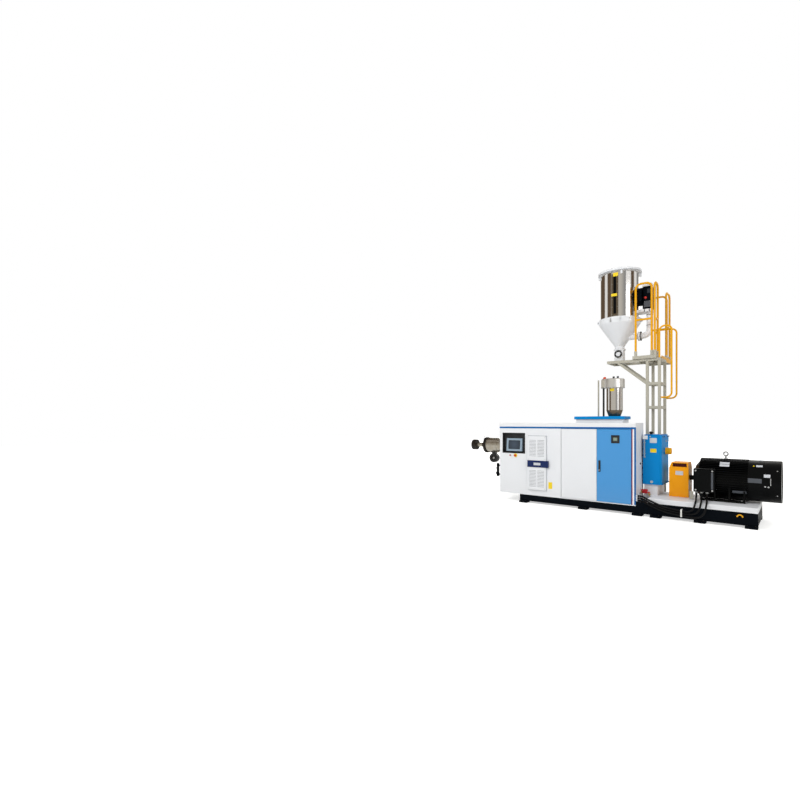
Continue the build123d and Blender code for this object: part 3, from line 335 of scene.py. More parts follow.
def loft(form, outlines, ring=False):
    """Join equal outlines, or single points, into one closed form; a ring ends where it began."""
    loops = [[form.verts.new(spot) for spot in outline] for outline in outlines]
    for near, far in zip(loops, loops[1:] + loops[:1] if ring else loops[1:]):
        for k in range(max(len(near), len(far))):
            corners = (near[k % len(near)], near[(k + 1) % len(near)], far[(k + 1) % len(far)],
                       far[k % len(far)])
            form.faces.new(list(dict.fromkeys(corners)))
    for loop in () if ring else (loops[0], loops[-1]):
        if len(loop) > 1:
            form.faces.new(loop)


def slab(form, low, high):
    """Add a box by its lowest and highest corner."""
    corners = [form.verts.new(spot) for spot in itertools.product(*zip(low, high))]
    for face in ((0, 1, 3, 2), (4, 6, 7, 5), (0, 4, 5, 1), (2, 3, 7, 6), (0, 2, 6, 4), (1, 5, 7, 3)):
        form.faces.new([corners[i] for i in face])


def turns(count, start=0.0):
    """Equal turns round a circle."""
    return [start + 2 * math.pi * k / count for k in range(count)]


def on_circle(centre, axis, radius, count, start=0.0):
    """Points evenly round a circle across an axis."""
    axis = Vector(axis).normalized()
    across = axis.orthogonal().normalized()
    up = axis.cross(across)
    return [Vector(centre) + radius * (across * math.cos(t) + up * math.sin(t)) for t in turns(count, start)]


def turned(form, start, axis, profile, sides=32, ring=False):
    """Add a turned form; its profile is (distance along the axis, radius) in millimetres."""
    if not ring:
        tip = [(profile[-1][0], 0)] if profile[-1][1] else []
        profile = [(profile[0][0], 0), *profile, *tip]
    way = Vector(axis).normalized()
    loft(form, [on_circle(Vector(start) + way * (along / MM), axis, radius / MM, sides if radius else 1)
                for along, radius in profile], ring)


def sleeve(form, start, axis, profile, sides):
    """Add a turned form that is open along its axis."""
    turned(form, start, axis, profile, sides, ring=True)


def bar(form, start, end, radius, sides=20):
    """Add a round bar between two points; its radius is in millimetres."""
    line = Vector(end) - Vector(start)
    loft(form, [on_circle(spot, line, radius / MM, sides) for spot in (start, end)])


def border(x0, x1, z0, z1, wide, y0, y1):
    """The steps of a frame of four flat bars inside a rectangle."""
    return [(slab, (x0, y0, z0), (x0 + wide, y1, z1)), (slab, (x1 - wide, y0, z0), (x1, y1, z1)),
            (slab, (x0 + wide, y0, z0), (x1 - wide, y1, z0 + wide)),
            (slab, (x0 + wide, y0, z1 - wide), (x1 - wide, y1, z1))]


def rounded(size, radius):
    """The outline of a rectangle with rounded corners, five points to a corner."""
    return [(sx * (size[0] / 2 - radius) + radius * math.cos(t), sz * (size[1] / 2 - radius) + radius * math.sin(t))
            for sx, sz, start in ((1, 1, 0), (-1, 1, 90), (-1, -1, 180), (1, -1, 270))
            for t in (math.radians(start + step * 22.5) for step in range(5))]


def build(name, finish, *steps, body=BODY, slot=None, bevel=0.0, segments=2, smooth=True):
    """Make a piece from steps, each a function and its numbers, and let it ride on its body."""
    form = bmesh.new()
    for add, *numbers in steps:
        add(form, *numbers)
    bmesh.ops.recalc_face_normals(form, faces=form.faces)
    mesh = bpy.data.meshes.new(name)
    form.to_mesh(mesh)
    form.free()
    for face in mesh.polygons:
        face.use_smooth = smooth
    mesh.materials.append(finish)
    piece = stand(name, mesh)
    if smooth:
        mesh.set_sharp_from_angle(angle=math.radians(40))
    if bevel:
        rounding = piece.modifiers.new("edge", "BEVEL")
        rounding.width = bevel / MM
        rounding.segments = segments
        rounding.limit_method = "ANGLE"
        rounding.angle_limit = math.radians(50)
    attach(piece, body)


def plate(name, centre, size, finish, thickness=0.002):
    """A thin plate with rounded corners, its back on a face that looks to the front."""
    x, y, z = centre
    outline = rounded(size, 0.1 * min(size))
    sides = [[(x - a, y - depth, z + b) for a, b in outline] for depth in (0.0, thickness)]
    build(name, finish, (loft, sides), bevel=thickness * 300, segments=1)

# %% [markdown]
# A machine like this is held together by many equal bolts. Geometry Nodes is the right tool: the
# bolt is described once, and a list of seats says where each one goes and which way it faces. The
# seats are bare points that carry a facing direction. The tree stands a washer and a hexagon head
# on each, turns it to face outwards, makes the copies real and gives them their finish. The short
# functions below each add one node, or the few nodes with which every such tree ends.

# %% Helpers for Geometry Nodes
def geometry_tree(name, sizes):
    """A geometry tree with named number inputs and a finish, and its inputs by name."""
    tree = bpy.data.node_groups.new(name, "GeometryNodeTree")
    kinds = {label: "Int" if isinstance(value, int) else "Float" for label, value in sizes.items()}
    for label, kind in {"Seats": "Geometry", **kinds, "Finish": "Material"}.items():
        made = tree.interface.new_socket(name=label, in_out="INPUT", socket_type="NodeSocket" + kind)
        if label in sizes:
            made.default_value = sizes[label]
    tree.interface.new_socket(name="Result", in_out="OUTPUT", socket_type="NodeSocketGeometry")
    return tree, add_node(tree, "NodeGroupInput").outputs


def vector(tree, **parts):
    """A vector from its parts."""
    return add_node(tree, "ShaderNodeCombineXYZ", parts).outputs[0]


def cube(tree, x, y, z):
    """A block of three sizes."""
    return add_node(tree, "GeometryNodeMeshCube", {"Size": vector(tree, X=x, Y=y, Z=z)}).outputs["Mesh"]


def cylinder(tree, sides, radius, depth):
    """An upright cylinder."""
    return add_node(tree, "GeometryNodeMeshCylinder", {"Vertices": sides, "Radius": radius,
                    "Depth": depth}).outputs["Mesh"]


def circle(tree, points, radius):
    """A circle as a curve."""
    return add_node(tree, "GeometryNodeCurvePrimitiveCircle", {"Resolution": points,
                    "Radius": radius}).outputs["Curve"]


def moved(tree, shape, **how):
    """A shape moved or scaled."""
    return add_node(tree, "GeometryNodeTransform", {"Geometry": shape, **how}).outputs[0]


def joined(tree, *shapes):
    """Several shapes as one."""
    made = add_node(tree, "GeometryNodeJoinGeometry")
    for shape in shapes:
        tree.links.new(shape, made.inputs[0])
    return made.outputs[0]


def copies(tree, points, shape, **how):
    """A copy of a shape on every point."""
    return add_node(tree, "GeometryNodeInstanceOnPoints", {"Points": points, "Instance": shape,
                    **how}).outputs[0]


def real(tree, laid):
    """Copies turned into plain geometry."""
    return add_node(tree, "GeometryNodeRealizeInstances", {"Geometry": laid}).outputs[0]


def outwards(tree):
    """The turn that points a copy the way its seat faces."""
    facing = add_node(tree, "GeometryNodeInputNamedAttribute", {"Name": "facing"}, data_type="FLOAT_VECTOR")
    return add_node(tree, "FunctionNodeAlignRotationToVector", {"Vector": facing.outputs[0]}, axis="Z").outputs[0]


def close_tree(tree, given, laid):
    """Make the copies real, give them their finish and hand them out."""
    painted = add_node(tree, "GeometryNodeSetMaterial", {"Geometry": real(tree, laid),
                       "Material": given["Finish"]})
    add_node(tree, "NodeGroupOutput", {0: painted.outputs[0]})


def seat_points(name, spots):
    """Bare points that remember which way each one faces."""
    mesh = bpy.data.meshes.new(name)
    mesh.from_pydata([spot[0] for spot in spots], [], [])
    facing = mesh.attributes.new("facing", "FLOAT_VECTOR", "POINT")
    for index, spot in enumerate(spots):
        facing.data[index].vector = spot[1]
    return stand(name, mesh)


def settle(seats, tree, sizes, finish):
    """Run a tree on its seats, keep the result as a plain mesh, and let it ride on the body."""
    modifier = seats.modifiers.new("build", "NODES")
    modifier.node_group = tree
    values = {**sizes, "Finish": finish}
    for item in tree.interface.items_tree:
        if item.in_out == "INPUT" and item.name in values:
            modifier[item.identifier] = values[item.name]
    bpy.context.view_layer.update()
    evaluated = seats.evaluated_get(bpy.context.evaluated_depsgraph_get())
    built = bpy.data.meshes.new_from_object(evaluated)
    seats.modifiers.clear()
    seats.data = built
    built.name = seats.name
    if not built.materials:
        built.materials.append(finish)
    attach(seats, BODY)


# %% Hexagon bolts by Geometry Nodes
bolt_tree, given = geometry_tree("hexagon bolts", {"Head Radius": 0.010, "Head Height": 0.007,
                                                   "Washer Radius": 0.013, "Washer Height": 0.002})
half_washer = maths(bolt_tree, "MULTIPLY", given["Washer Height"], 0.5)
half_head = maths(bolt_tree, "MULTIPLY_ADD", given["Head Height"], 0.5, given["Washer Height"])
washer = moved(bolt_tree, cylinder(bolt_tree, 20, given["Washer Radius"], given["Washer Height"]),
               Translation=vector(bolt_tree, Z=half_washer))
head = moved(bolt_tree, cylinder(bolt_tree, 6, given["Head Radius"], given["Head Height"]),
             Translation=vector(bolt_tree, Z=half_head))
close_tree(bolt_tree, given, copies(bolt_tree, given["Seats"], joined(bolt_tree, head, washer),
                                    Rotation=outwards(bolt_tree)))


def bolts(name, spots, width_mm, finish):
    """Equal hexagon bolts, each at its spot (place, facing); the width is across the corners."""
    settle(seat_points(name, spots), bolt_tree, {
        "Head Radius": width_mm / 2000, "Head Height": width_mm / 2800,
        "Washer Radius": width_mm / 1600, "Washer Height": width_mm / 9000}, finish)


def grid(xs, ys, zs, facing):
    """Seats at every mix of x, y and z, each of them one number or several."""
    several = [value if isinstance(value, (list, tuple)) else (value,) for value in (xs, ys, zs)]
    return [(place, facing) for place in itertools.product(*several)]


def ring_seats(centre, facing, radius, count, start=0.0):
    """Seats evenly round a circle."""
    return [(place, facing) for place in on_circle(centre, facing, radius, count, start)]

# %% [markdown]
# The bolted joints of the machine: the motor's feet and its terminal box, the gearbox lid and
# flanges, the clamp at the barrel's end, the plates under the tower's posts, the hopper's rings.
# Each call below is one kind of bolt in one finish.

# %% Bolts of the motor and the gearbox
axis_y, axis_z = 0.760, 1.165
face_y = 0.430
box_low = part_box("terminal_box")[0]
bolts("motor_foot_bolts", grid((0.998, 1.175, 1.375, 1.552), (0.435, 1.085), 0.371, UP), 30, zinc_steel)
bolts("terminal_cover_bolts", grid((0.902, 1.149), box_low.y, (0.526, 0.864), FRONT), 22, zinc_steel)
bolts("gearbox_lid_bolts", grid((0.060, 0.297), (0.50, 0.62, 0.76, 0.90, 1.02), 1.480, UP), 24, zinc_steel)
bolts("gearbox_face_bolts", grid((0.050, 0.276), face_y, (0.575, 1.425), FRONT)
      + grid((0.050, 0.276), 1.090, (0.575, 1.425), BACK), 24, gear_blue_enamel)
bolts("gearbox_flange_bolts", grid(0.345, (0.50, 0.63, 0.89, 1.02), (0.551, 1.443), RIGHT), 18, blackened_steel)
bolts("gearbox_side_bolts", grid(0.022, (0.455, 1.065), (0.60, 0.72, 0.84, 0.96, 1.08, 1.20, 1.32, 1.43), LEFT),
      26, blackened_steel)

# %% Bolts of the barrel end, the tower and the hopper
bolts("retainer_bolts", ring_seats((-3.5552, axis_y, axis_z), LEFT, 0.155, 12), 24, blackened_steel)
clamp_x, clamp_z = (-3.46, -3.40, -3.32, -3.26), (axis_z - 0.166, axis_z + 0.166)
bolts("clamp_bolts", grid(clamp_x, axis_y - 0.030, clamp_z, FRONT) + grid(clamp_x, axis_y + 0.030, clamp_z, BACK),
      22, blackened_steel)
bolts("post_foot_bolts", grid((-0.107, -0.019, 0.113, 0.201), (1.193, 1.683), 0.183, UP), 20, zinc_steel)
bolts("frame_joint_bolts", grid((-0.063, 0.157), 1.125, (2.973, 2.997), FRONT), 16, zinc_steel)
drum_low, drum_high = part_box("hopper_body")
drum_x, drum_y = (drum_low.x + drum_high.x) / 2, (drum_low.y + drum_high.y) / 2
cone_top, outlet_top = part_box("hopper_cone")[1].z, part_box("hopper_outlet")[1].z
bolts("cone_ring_bolts", ring_seats((drum_x, drum_y, cone_top), UP, 0.390, 16), 12, zinc_steel)
bolts("outlet_flange_bolts", ring_seats((drum_x, drum_y, outlet_top), UP, 0.107, 8), 14, zinc_steel)
bolts("duct_flange_bolts", ring_seats((-0.242, drum_y, 3.525), RIGHT, 0.080, 8), 12, zinc_steel)
pad_x = [x + dx for x in (-2.213, -0.959, 0.025, 0.326, 1.004, 1.709) for dx in (-0.055, 0.055)]
bolts("floor_pad_bolts", grid(pad_x, (-0.021, 1.141), 0.041, UP), 22, blackened_steel)

# %% [markdown]
# The operator's corner of the cabinet: a recess lined in black, with the screen leaning back in
# it, two push buttons below, and the cabinet's cooler beside them. The lining is five thin walls,
# open to the front. The display is a dark pane a little proud of the grey frame that holds it.

# %% Screen, lining and buttons
x0, x1, z0, z1, wall, rim = -2.700, -2.190, 1.055, 1.475, 0.002, 0.012
build("recess_lining", recess_black, (slab, (x0, 0.068, z0), (x1, 0.070, z1)),
      (slab, (x0, 0.001, z0), (x0 + wall, 0.068, z1)), (slab, (x1 - wall, 0.001, z0), (x1, 0.068, z1)),
      (slab, (x0, 0.001, z1 - wall), (x1, 0.068, z1)), (slab, (x0, 0.001, z0), (x1, 0.068, z0 + wall)),
      smooth=False)
build("recess_rim", recess_black, *border(x0 - rim, x1 + rim, z0 - rim, z1 + rim, rim, -0.002, 0.004), bevel=1)

screen_middle, lean = Vector((-2.445, 0.035, 1.2265)), Vector((0, 0.026, 0.279)).normalized()
out = Vector((0, -lean.z, lean.y))


def on_screen(outline, lift):
    """An outline laid on the leaning screen, at a height above it."""
    return [screen_middle + Vector((a, 0, 0)) + lean * b + out * lift for a, b in outline]


def screen_frame(name, outer, inner, near, far, finish):
    """A rounded picture frame on the screen, between two heights above it."""
    loops = [on_screen(rounded(size, 0.012), lift)
             for size, lift in ((outer, near), (outer, far), (inner, far), (inner, near))]
    build(name, finish, (loft, loops, True), bevel=1.5)


screen_frame("screen_frame", (0.366, 0.272), (0.276, 0.194), 0.0005, 0.008, screen_grey_abs)
screen_frame("screen_gasket", (0.276, 0.194), (0.262, 0.180), 0.003, 0.0055, recess_black)
pane = [(a * 0.131, b * 0.090) for a, b in SQUARE]
build("display_pane", display_glass, (loft, [on_screen(pane, 0.0032), on_screen(pane, 0.0046)]), bevel=0.4)
build("start_button_bezel", zinc_steel, (turned, (-2.524, 0, 0.998), FRONT, [(0, 19), (4, 19), (5, 16.5)]),
      bevel=0.6)
build("start_button_cap", button_red,
      (turned, (-2.524, -0.0155, 0.998), FRONT, [(0, 13.5), (2, 13.5), (4, 10), (5, 0)]))
build("stop_button_disc", label_yellow, (turned, (-2.402, 0, 0.998), FRONT, [(0, 42), (2, 42)], 48), bevel=0.5)
build("stop_button_head", button_red, (turned, (-2.402, -0.015, 0.998), FRONT, [
      (0, 21.5), (10, 24.5), (16, 23.5), (19.5, 18), (21, 9), (21.5, 0)], 40))
print("display tilt", round(math.degrees(math.atan2(lean.y, lean.z)), 1), "degrees")

# %% [markdown]
# The cooler's two louvre fields are slots in its moulded cover, each with a slat that throws the
# air downwards. Slats repeat, so Geometry Nodes lays them out: a grid of points, a slat on each,
# tilted about its own length. Behind each slot lies a dark grey sheet, painted shade for the
# cooler's dark inside, so the eye reads depth there.

# %% Louvre slats by Geometry Nodes
slat_tree, given = geometry_tree("slats", {"Length": 0.15, "Depth": 0.016, "Thickness": 0.0015, "Tilt": 0.6})
slat = cube(slat_tree, given["Length"], given["Depth"], given["Thickness"])
close_tree(slat_tree, given, copies(slat_tree, given["Seats"], slat, Rotation=vector(slat_tree, X=given["Tilt"])))


def slats(name, spots, length, depth, thickness, tilt, finish):
    """Equal slats along X, one at each spot."""
    settle(seat_points(name, spots), slat_tree, {"Length": length, "Depth": depth, "Thickness": thickness,
           "Tilt": math.radians(tilt)}, finish)


louvre_x = (-1.990, -1.810)
louvre_z = [field + (row - 5.5) * 0.030 for field in (1.1695, 0.5325) for row in range(12)]
slats("cooler_slats", grid(louvre_x, -0.0405, [z - 0.002 for z in louvre_z], UP), 0.149, 0.0092, 0.0012, 38,
      white_powder)
# A dark grey sheet behind each slot is painted shade for the cooler's dark inside.
louvre_painted_shade = painted_steel("grey painted shade behind louvres", "#474D56", dust=0.0)
build("cooler_painted_shade", louvre_painted_shade, *[(slab, (x - 0.0745, -0.0372, z - 0.0058), (x + 0.0745, -0.0362, z + 0.0058))
                                     for x in louvre_x for z in louvre_z], smooth=False)
print("slats", len(louvre_x) * len(louvre_z))

# %% [markdown]
# A coloured cap crosses the cooler between its louvre fields. It is a folded tray, open to the
# cooler, with a small plain plate in its middle. Its skin stands a hair over the solid band, and
# its edges are rounded as folded aluminium is.

# %% Cooler band and flange
build("cooler_band_skin", navy_powder, (slab, (-2.1012, -0.0572, 0.7712), (-1.6528, -0.0002, 0.9132)), bevel=3,
      segments=3)
plate("cooler_band_plate", (-1.885, -0.0572, 0.842), (0.150, 0.052), label_silver)
build("cooler_gasket", seal_grey, *[(slab, (x0, -0.006, z0), (x1, -0.0002, z1)) for x0, x1, z0, z1 in (
      (-2.108, -2.100, 0.288, 0.770), (-1.700, -1.692, 0.288, 0.770), (-2.108, -2.100, 0.914, 1.434),
      (-1.700, -1.692, 0.914, 1.434), (-2.108, -1.692, 0.285, 0.293), (-2.108, -1.692, 1.427, 1.435))], bevel=1)
bolts("cooler_screws", grid((-2.078, -1.722), -0.0465, (0.320, 0.745, 0.940, 1.400), FRONT), 9, zinc_steel)

# %% [markdown]
# The two doors are folded sheets. The eye finds the dark line of the rubber seal in the gaps, the
# swing handle with its lock, and the meter's window. Inside, each leaf has a stiffening channel
# and the seal round its rim, which show when it is open.

# %% Doors
def door_inside(name, left, right, body):
    """The seal round a leaf's inner rim and two stiffeners across its inner face."""
    build(name + "_seal", seal_rubber, *border(left + 0.006, right - 0.006, 0.198, 1.574, 0.010, 0.0203, 0.0243),
          body=body, bevel=1)
    build(name + "_stiffeners", white_powder, *[(slab, (left + 0.030, 0.0045, z - 0.020),
          (right - 0.030, 0.0165, z + 0.020)) for z in (0.55, 1.20)], body=body, bevel=2)


door_inside("white_door", -1.360, -0.698, WHITE_LEAF)
door_inside("blue_door", -0.692, -0.106, BLUE_LEAF)
build("handle_base", black_abs, (slab, (-0.661, -0.006, 0.760), (-0.623, -0.0004, 0.980)), body=BLUE_LEAF,
      bevel=4, segments=3)
build("handle_lock", zinc_steel, (turned, (-0.642, -0.0243, 0.795), FRONT, [(0, 11), (2.5, 11), (3.2, 9.5)]),
      body=BLUE_LEAF, bevel=0.5)
build("handle_grip", black_abs, (slab, (-0.650, -0.0285, 0.815), (-0.634, -0.0243, 0.948)), body=BLUE_LEAF,
      bevel=3, segments=3)
build("meter_flange", black_abs, (slab, (-0.430, -0.004, 1.317), (-0.278, -0.0004, 1.469)), body=BLUE_LEAF,
      bevel=2)
build("meter_pane", meter_glass, (slab, (-0.392, -0.0078, 1.362), (-0.316, -0.0064, 1.424)), body=BLUE_LEAF,
      bevel=0.6)
build("meter_keys", screen_grey_abs, *[(turned, (-0.384 + k * 0.020, -0.0064, 1.345), FRONT,
      [(0, 6), (3, 6), (4, 4)], 16) for k in range(4)], body=BLUE_LEAF)

# %% [markdown]
# Two stripes of thin film, red and white, run down the blue strip beside the blue door. The
# cabinet's lock, a small black quarter-turn, sits round the corner on the end wall. A blank
# yellow plate gives the cabinet's lower half a small bright spot.

# %% Stripes, lock and plates on the cabinet
for name, finish, x0, x1 in (("stripe_red_film", stripe_red, -0.0655, -0.0520),
                             ("stripe_white_film", stripe_white, -0.0520, -0.0260)):
    build(name, finish, (slab, (x0, -0.0006, 0.188), (x1, 0.0002, 1.585)), smooth=False)
build("end_wall_lock", black_abs, (turned, (0.0, 0.324, 0.933), RIGHT, [(0, 20), (4, 20), (8, 14), (12, 13)], 24),
      bevel=0.8)
plate("panel_plate", (-1.621, 0.0, 0.408), (0.080, 0.138), label_yellow)
build("end_wall_folds", white_powder, (slab, (-0.029, 0.030, 1.540), (0.0012, 0.5600, 1.5862)),
      (slab, (-0.0305, 0.5, 0.186), (0.0012, 0.5600, 1.540)), bevel=2)

# %% [markdown]
# Three power cables hang from the terminal box, over the edge of the bed, and run along its front
# to the cabinet. Each is one smooth NURBS curve whose control points are the cable's own route,
# with a round section. A cable this thick is stiff, so it keeps wide bends. It leaves its gland
# through a tapered rubber boot, and a hexagon nut holds the gland in the wall.

# %% Power cables
# Each route is in millimetres, from the gland in the terminal box to the cabinet's end wall.
cable_routes = (
    ((905, 345, 465), (905, 345, 425), (906, 318, 385), (911, 262, 361), (921, 180, 354),
     (932, 98, 355), (941, 32, 357), (946, -26, 350), (943, -67, 316), (934, -88, 267),
     (912, -96, 219), (872, -92, 188), (818, -80, 174), (752, -67, 177), (684, -59, 185),
     (610, -56, 194), (530, -56, 206), (448, -56, 227), (364, -56, 256), (283, -56, 290),
     (208, -55, 323), (152, -33, 347), (113, 8, 357), (70, 30, 358), (25, 30, 358)),
    ((985, 345, 465), (985, 345, 425), (986, 318, 385), (991, 262, 361), (1001, 180, 354),
     (1012, 98, 355), (1021, 32, 357), (1026, -26, 350), (1024, -67, 316), (1018, -90, 267),
     (1002, -99, 215), (968, -98, 171), (918, -88, 144), (856, -76, 134), (786, -65, 136),
     (710, -59, 144), (625, -56, 152), (535, -56, 165), (448, -56, 186), (364, -56, 215),
     (283, -56, 249), (208, -55, 282), (152, -33, 306), (113, 8, 316), (70, 30, 317), (25, 30, 317)),
    ((1065, 345, 465), (1065, 345, 425), (1066, 318, 385), (1071, 262, 361), (1081, 180, 354),
     (1092, 98, 355), (1101, 32, 357), (1106, -26, 350), (1105, -67, 316), (1101, -92, 266),
     (1091, -104, 211), (1066, -107, 159), (1024, -101, 119), (968, -90, 98), (900, -77, 92),
     (825, -66, 95), (745, -59, 102), (655, -56, 110), (550, -56, 121), (448, -56, 145),
     (364, -56, 174), (283, -56, 208), (208, -55, 241), (152, -33, 265), (113, 8, 275),
     (70, 30, 276), (25, 30, 276)),
)
cable_routes = [[[value / MM for value in place] for place in route] for route in cable_routes]
cable_lengths = (1.549, 1.657, 1.774)
CABLE_RADIUS = 0.015
for number, (route, length) in enumerate(zip(cable_routes, cable_lengths), start=1):
    line = bpy.data.curves.new(f"power_cable_line_{number}", "CURVE")
    line.dimensions = "3D"
    line.bevel_depth = CABLE_RADIUS
    line.bevel_resolution = 5
    line.use_fill_caps = True
    line.resolution_u = 8
    spline = line.splines.new("NURBS")
    spline.points.add(len(route) - 1)
    for point, place in zip(spline.points, route):
        point.co = (*place, 1.0)
    spline.order_u = 3
    spline.use_endpoint_u = True
    spline.use_smooth = True
    line.materials.append(cable_rubber)
    cable = stand(f"power_cable_line_{number}", line)
    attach(cable, BODY)
    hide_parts(f"power_cable_{number}")

boots, nuts = [], []
for route in cable_routes:
    (x, y, z), (end_x, end_y, end_z) = route[0], route[-1]
    boots += [(sleeve, (x, y, z + 0.002), DOWN, [(0, 15.5), (0, 20.5), (10, 20), (34, 16.8), (36, 15.2)], 28),
              (sleeve, (end_x - 0.002, end_y, end_z), RIGHT,
               [(0, 15.5), (0, 19), (10, 18.6), (30, 16.5), (32, 15.2)], 28)]
    nuts += [(turned, (x, y, 0.4898), DOWN, [(0, 28.5), (10, 28.5), (12, 26.2)], 6),
             (turned, (x, y, 0.4720), DOWN, [(0, 26.2), (6, 26.2), (6.5, 0)], 6),
             (turned, (0.0002, end_y, end_z), RIGHT, [(0, 20.5), (9, 20.5), (10, 0)], 6)]
build("cable_boots", cable_rubber, *boots)
build("gland_nuts", zinc_steel, *nuts, bevel=0.8)
print("cables", len(cable_routes), "of", cable_lengths, "m")

# %% [markdown]
# On the gearbox's face sit a small sensor box with its grey conduit, an empty label plate, a
# yellow one, a drain plug and a sight gauge. Its output shaft wears a yellow cap. Round things
# are turned from a profile; the conduit is a bent bar with elbows, as an electrician makes it.
# Two brass valves with red levers stand low between the gearbox and the cabinet.

# %% Gearbox fittings
build("sensor_box", white_powder, (slab, (0.022, face_y - 0.034, 1.392), (0.106, face_y, 1.462)),
      slot="white_plastic", bevel=4, segments=3)
pipe_y = face_y - 0.020
build("sensor_conduit", screen_grey_abs, (bar, (0.052, pipe_y, 1.392), (0.052, pipe_y, 1.052), 13),
      (bar, (0.052, pipe_y, 1.056), (0.052, face_y, 1.056), 13),
      (turned, (0.052, face_y, 1.056), FRONT, [(0, 21), (6, 21)], 6),
      *[(slab, (0.034, face_y - 0.036, z - 0.008), (0.070, face_y, z + 0.008)) for z in (1.33, 1.12)], bevel=1.5)
plate("gearbox_plate", (0.200, face_y, 1.371), (0.119, 0.094), label_silver)
plate("gearbox_tag", (0.201, face_y, 1.180), (0.104, 0.073), label_yellow)
bolts("gearbox_plate_rivets", grid((0.148, 0.252), face_y - 0.002, (1.331, 1.411), FRONT), 6, zinc_steel)
build("gearbox_plugs", zinc_steel,
      (turned, (0.171, face_y, 0.590), FRONT, [(0, 26), (4, 26), (5, 19), (16, 18), (18, 16)], 24),
      (turned, (0.335, 0.813, 1.357), RIGHT, [(0, 22), (4, 22), (5, 16), (16, 16), (18, 13)], 24),
      (turned, (0.147, face_y, 1.443), FRONT, [(0, 14), (4, 14), (5, 11), (12, 10)], 6), bevel=0.8)
build("gearbox_breather", blackened_steel, (turned, (0.120, 0.640, 1.480), UP,
      [(0, 24), (18, 24), (20, 36), (46, 36), (56, 26), (60, 0)], 28), slot="black_plastic", bevel=1)
build("shaft_cap_cover", rail_yellow_enamel, (turned, (0.3452, axis_y, axis_z), RIGHT,
      [(0, 66), (6, 66.5), (10, 63.4), (84, 63.4), (92.5, 61.5), (98.5, 55), (100, 40)], 48))
VALVES = ((0.0, 0.385, (-0.008, 0.100), (0.022, 0.112)), (0.130, 0.345, (0.030, 0.138), (0.024, 0.108)))
bodies, levers, pipes = [], [], []
for x, z, blade, grip in VALVES:
    bodies += [(turned, (x, 0.470, z), FRONT, [(0, 17), (34, 17), (36, 21), (50, 21), (52, 17), (78, 24), (104, 17),
                (106, 21), (118, 21), (120, 0)], 24),
               (turned, (x, 0.392, z), UP, [(0, 12), (30, 11), (34, 8), (40, 8)], 20)]
    levers += [(slab, (blade[0], 0.380, z + 0.038), (blade[1], 0.404, z + 0.046)),
               (slab, (grip[0], 0.372, z + 0.024), (grip[1], 0.412, z + 0.062)),
               (turned, (x, 0.392, z + 0.036), UP, [(0, 22), (14, 22), (20, 14)], 20)]
    pipes += [(bar, (x, 0.352, z), (x, 0.300, z), 11), (bar, (x, 0.304, z), (x, 0.304, 0.262), 11),
              (turned, (x, 0.350, z), FRONT, [(0, 18), (12, 18)], 6)]
build("valve_bodies", brass, *bodies, bevel=0.6)
build("valve_handles", handle_red_vinyl, *levers, bevel=2, segments=3)
build("valve_pipes", zinc_steel, *pipes, bevel=0.8)

# %% [markdown]
# The coupling guard is a folded sheet box with a slot near its top. Behind the slot hangs a dark
# red perforated strip that lets air through and keeps fingers out. A blank plate sits below the
# slot, and the guard is held down by a flange with bolts at each foot.

# %% Coupling guard
guard_mesh_red = painted_steel("dark red perforated strip", "#45090A", 0.45, dust=0.0, shine=0.25)
build("guard_slot_strip", guard_mesh_red, (slab, (0.494, 0.598, 0.890), (0.719, 0.602, 0.953)),
      *[(slab, (x - 0.0022, 0.5945, 0.891), (x + 0.0022, 0.5985, 0.952))
        for x in (0.502 + step * 0.0174 for step in range(13))], bevel=0.6, segments=1)
build("guard_slot_fold", guard_orange_powder, *border(0.484, 0.729, 0.880, 0.963, 0.008, 0.5728, 0.5752), bevel=1)
plate("guard_plate", (0.602, 0.575, 0.775), (0.124, 0.074), label_silver)
build("guard_foot_flanges", guard_orange_powder, *[(slab, (0.445, y0, 0.3350), (0.739, y1, 0.3385))
      for y0, y1 in ((0.545, 0.575), (0.945, 0.975))], bevel=1)
bolts("guard_foot_bolts", grid((0.47, 0.59, 0.71), (0.559, 0.961), 0.3385, UP), 16, zinc_steel)
build("conduit_bracket", tower_grey_enamel, (slab, (0.792, 0.395, 0.335), (0.852, 0.401, 0.480)),
      (slab, (0.792, 0.395, 0.335), (0.852, 0.455, 0.341)), bevel=1.5)

# %% [markdown]
# The motor's fan draws its air in through the grille at the end of the cowl: wire rings on six
# spokes. The same grille, smaller, covers the barrel blower's inlet. Rings repeat, so Geometry
# Nodes makes them: one circle per ring, swept by a thin wire, spaced from the hub to the rim.

# %% Fan grilles by Geometry Nodes
grille_tree, given = geometry_tree("fan grille", {"Rings": 9, "Inner Radius": 0.06, "Outer Radius": 0.31,
                                                  "Wire Radius": 0.002})
ring_line = add_node(grille_tree, "GeometryNodeMeshLine", {"Count": given["Rings"], "Offset": (0.0, 0.0, 0.0)})
ring_number = add_node(grille_tree, "GeometryNodeInputIndex").outputs[0]
ring_share = maths(grille_tree, "DIVIDE", ring_number, maths(grille_tree, "SUBTRACT", given["Rings"], 1.0))
ring_radius = ranged(grille_tree, ring_share, 0.0, 1.0, given["Inner Radius"], given["Outer Radius"])
rings = copies(grille_tree, ring_line.outputs["Mesh"], circle(grille_tree, 64, 1.0), Scale=ring_radius)
wires = add_node(grille_tree, "GeometryNodeCurveToMesh", {"Curve": real(grille_tree, rings),
                 "Profile Curve": circle(grille_tree, 8, given["Wire Radius"])})
close_tree(grille_tree, given, copies(grille_tree, given["Seats"], wires.outputs[0], Rotation=outwards(grille_tree)))


def grille(name, place, facing, inner, outer, rings, wire_radius):
    """Concentric wire rings round one place."""
    settle(seat_points(name, [(place, facing)]), grille_tree, {"Rings": rings, "Inner Radius": inner,
           "Outer Radius": outer, "Wire Radius": wire_radius}, blackened_steel)


cowl_low, cowl_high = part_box("motor_cowl")
cowl_z = (cowl_low.z + cowl_high.z) / 2


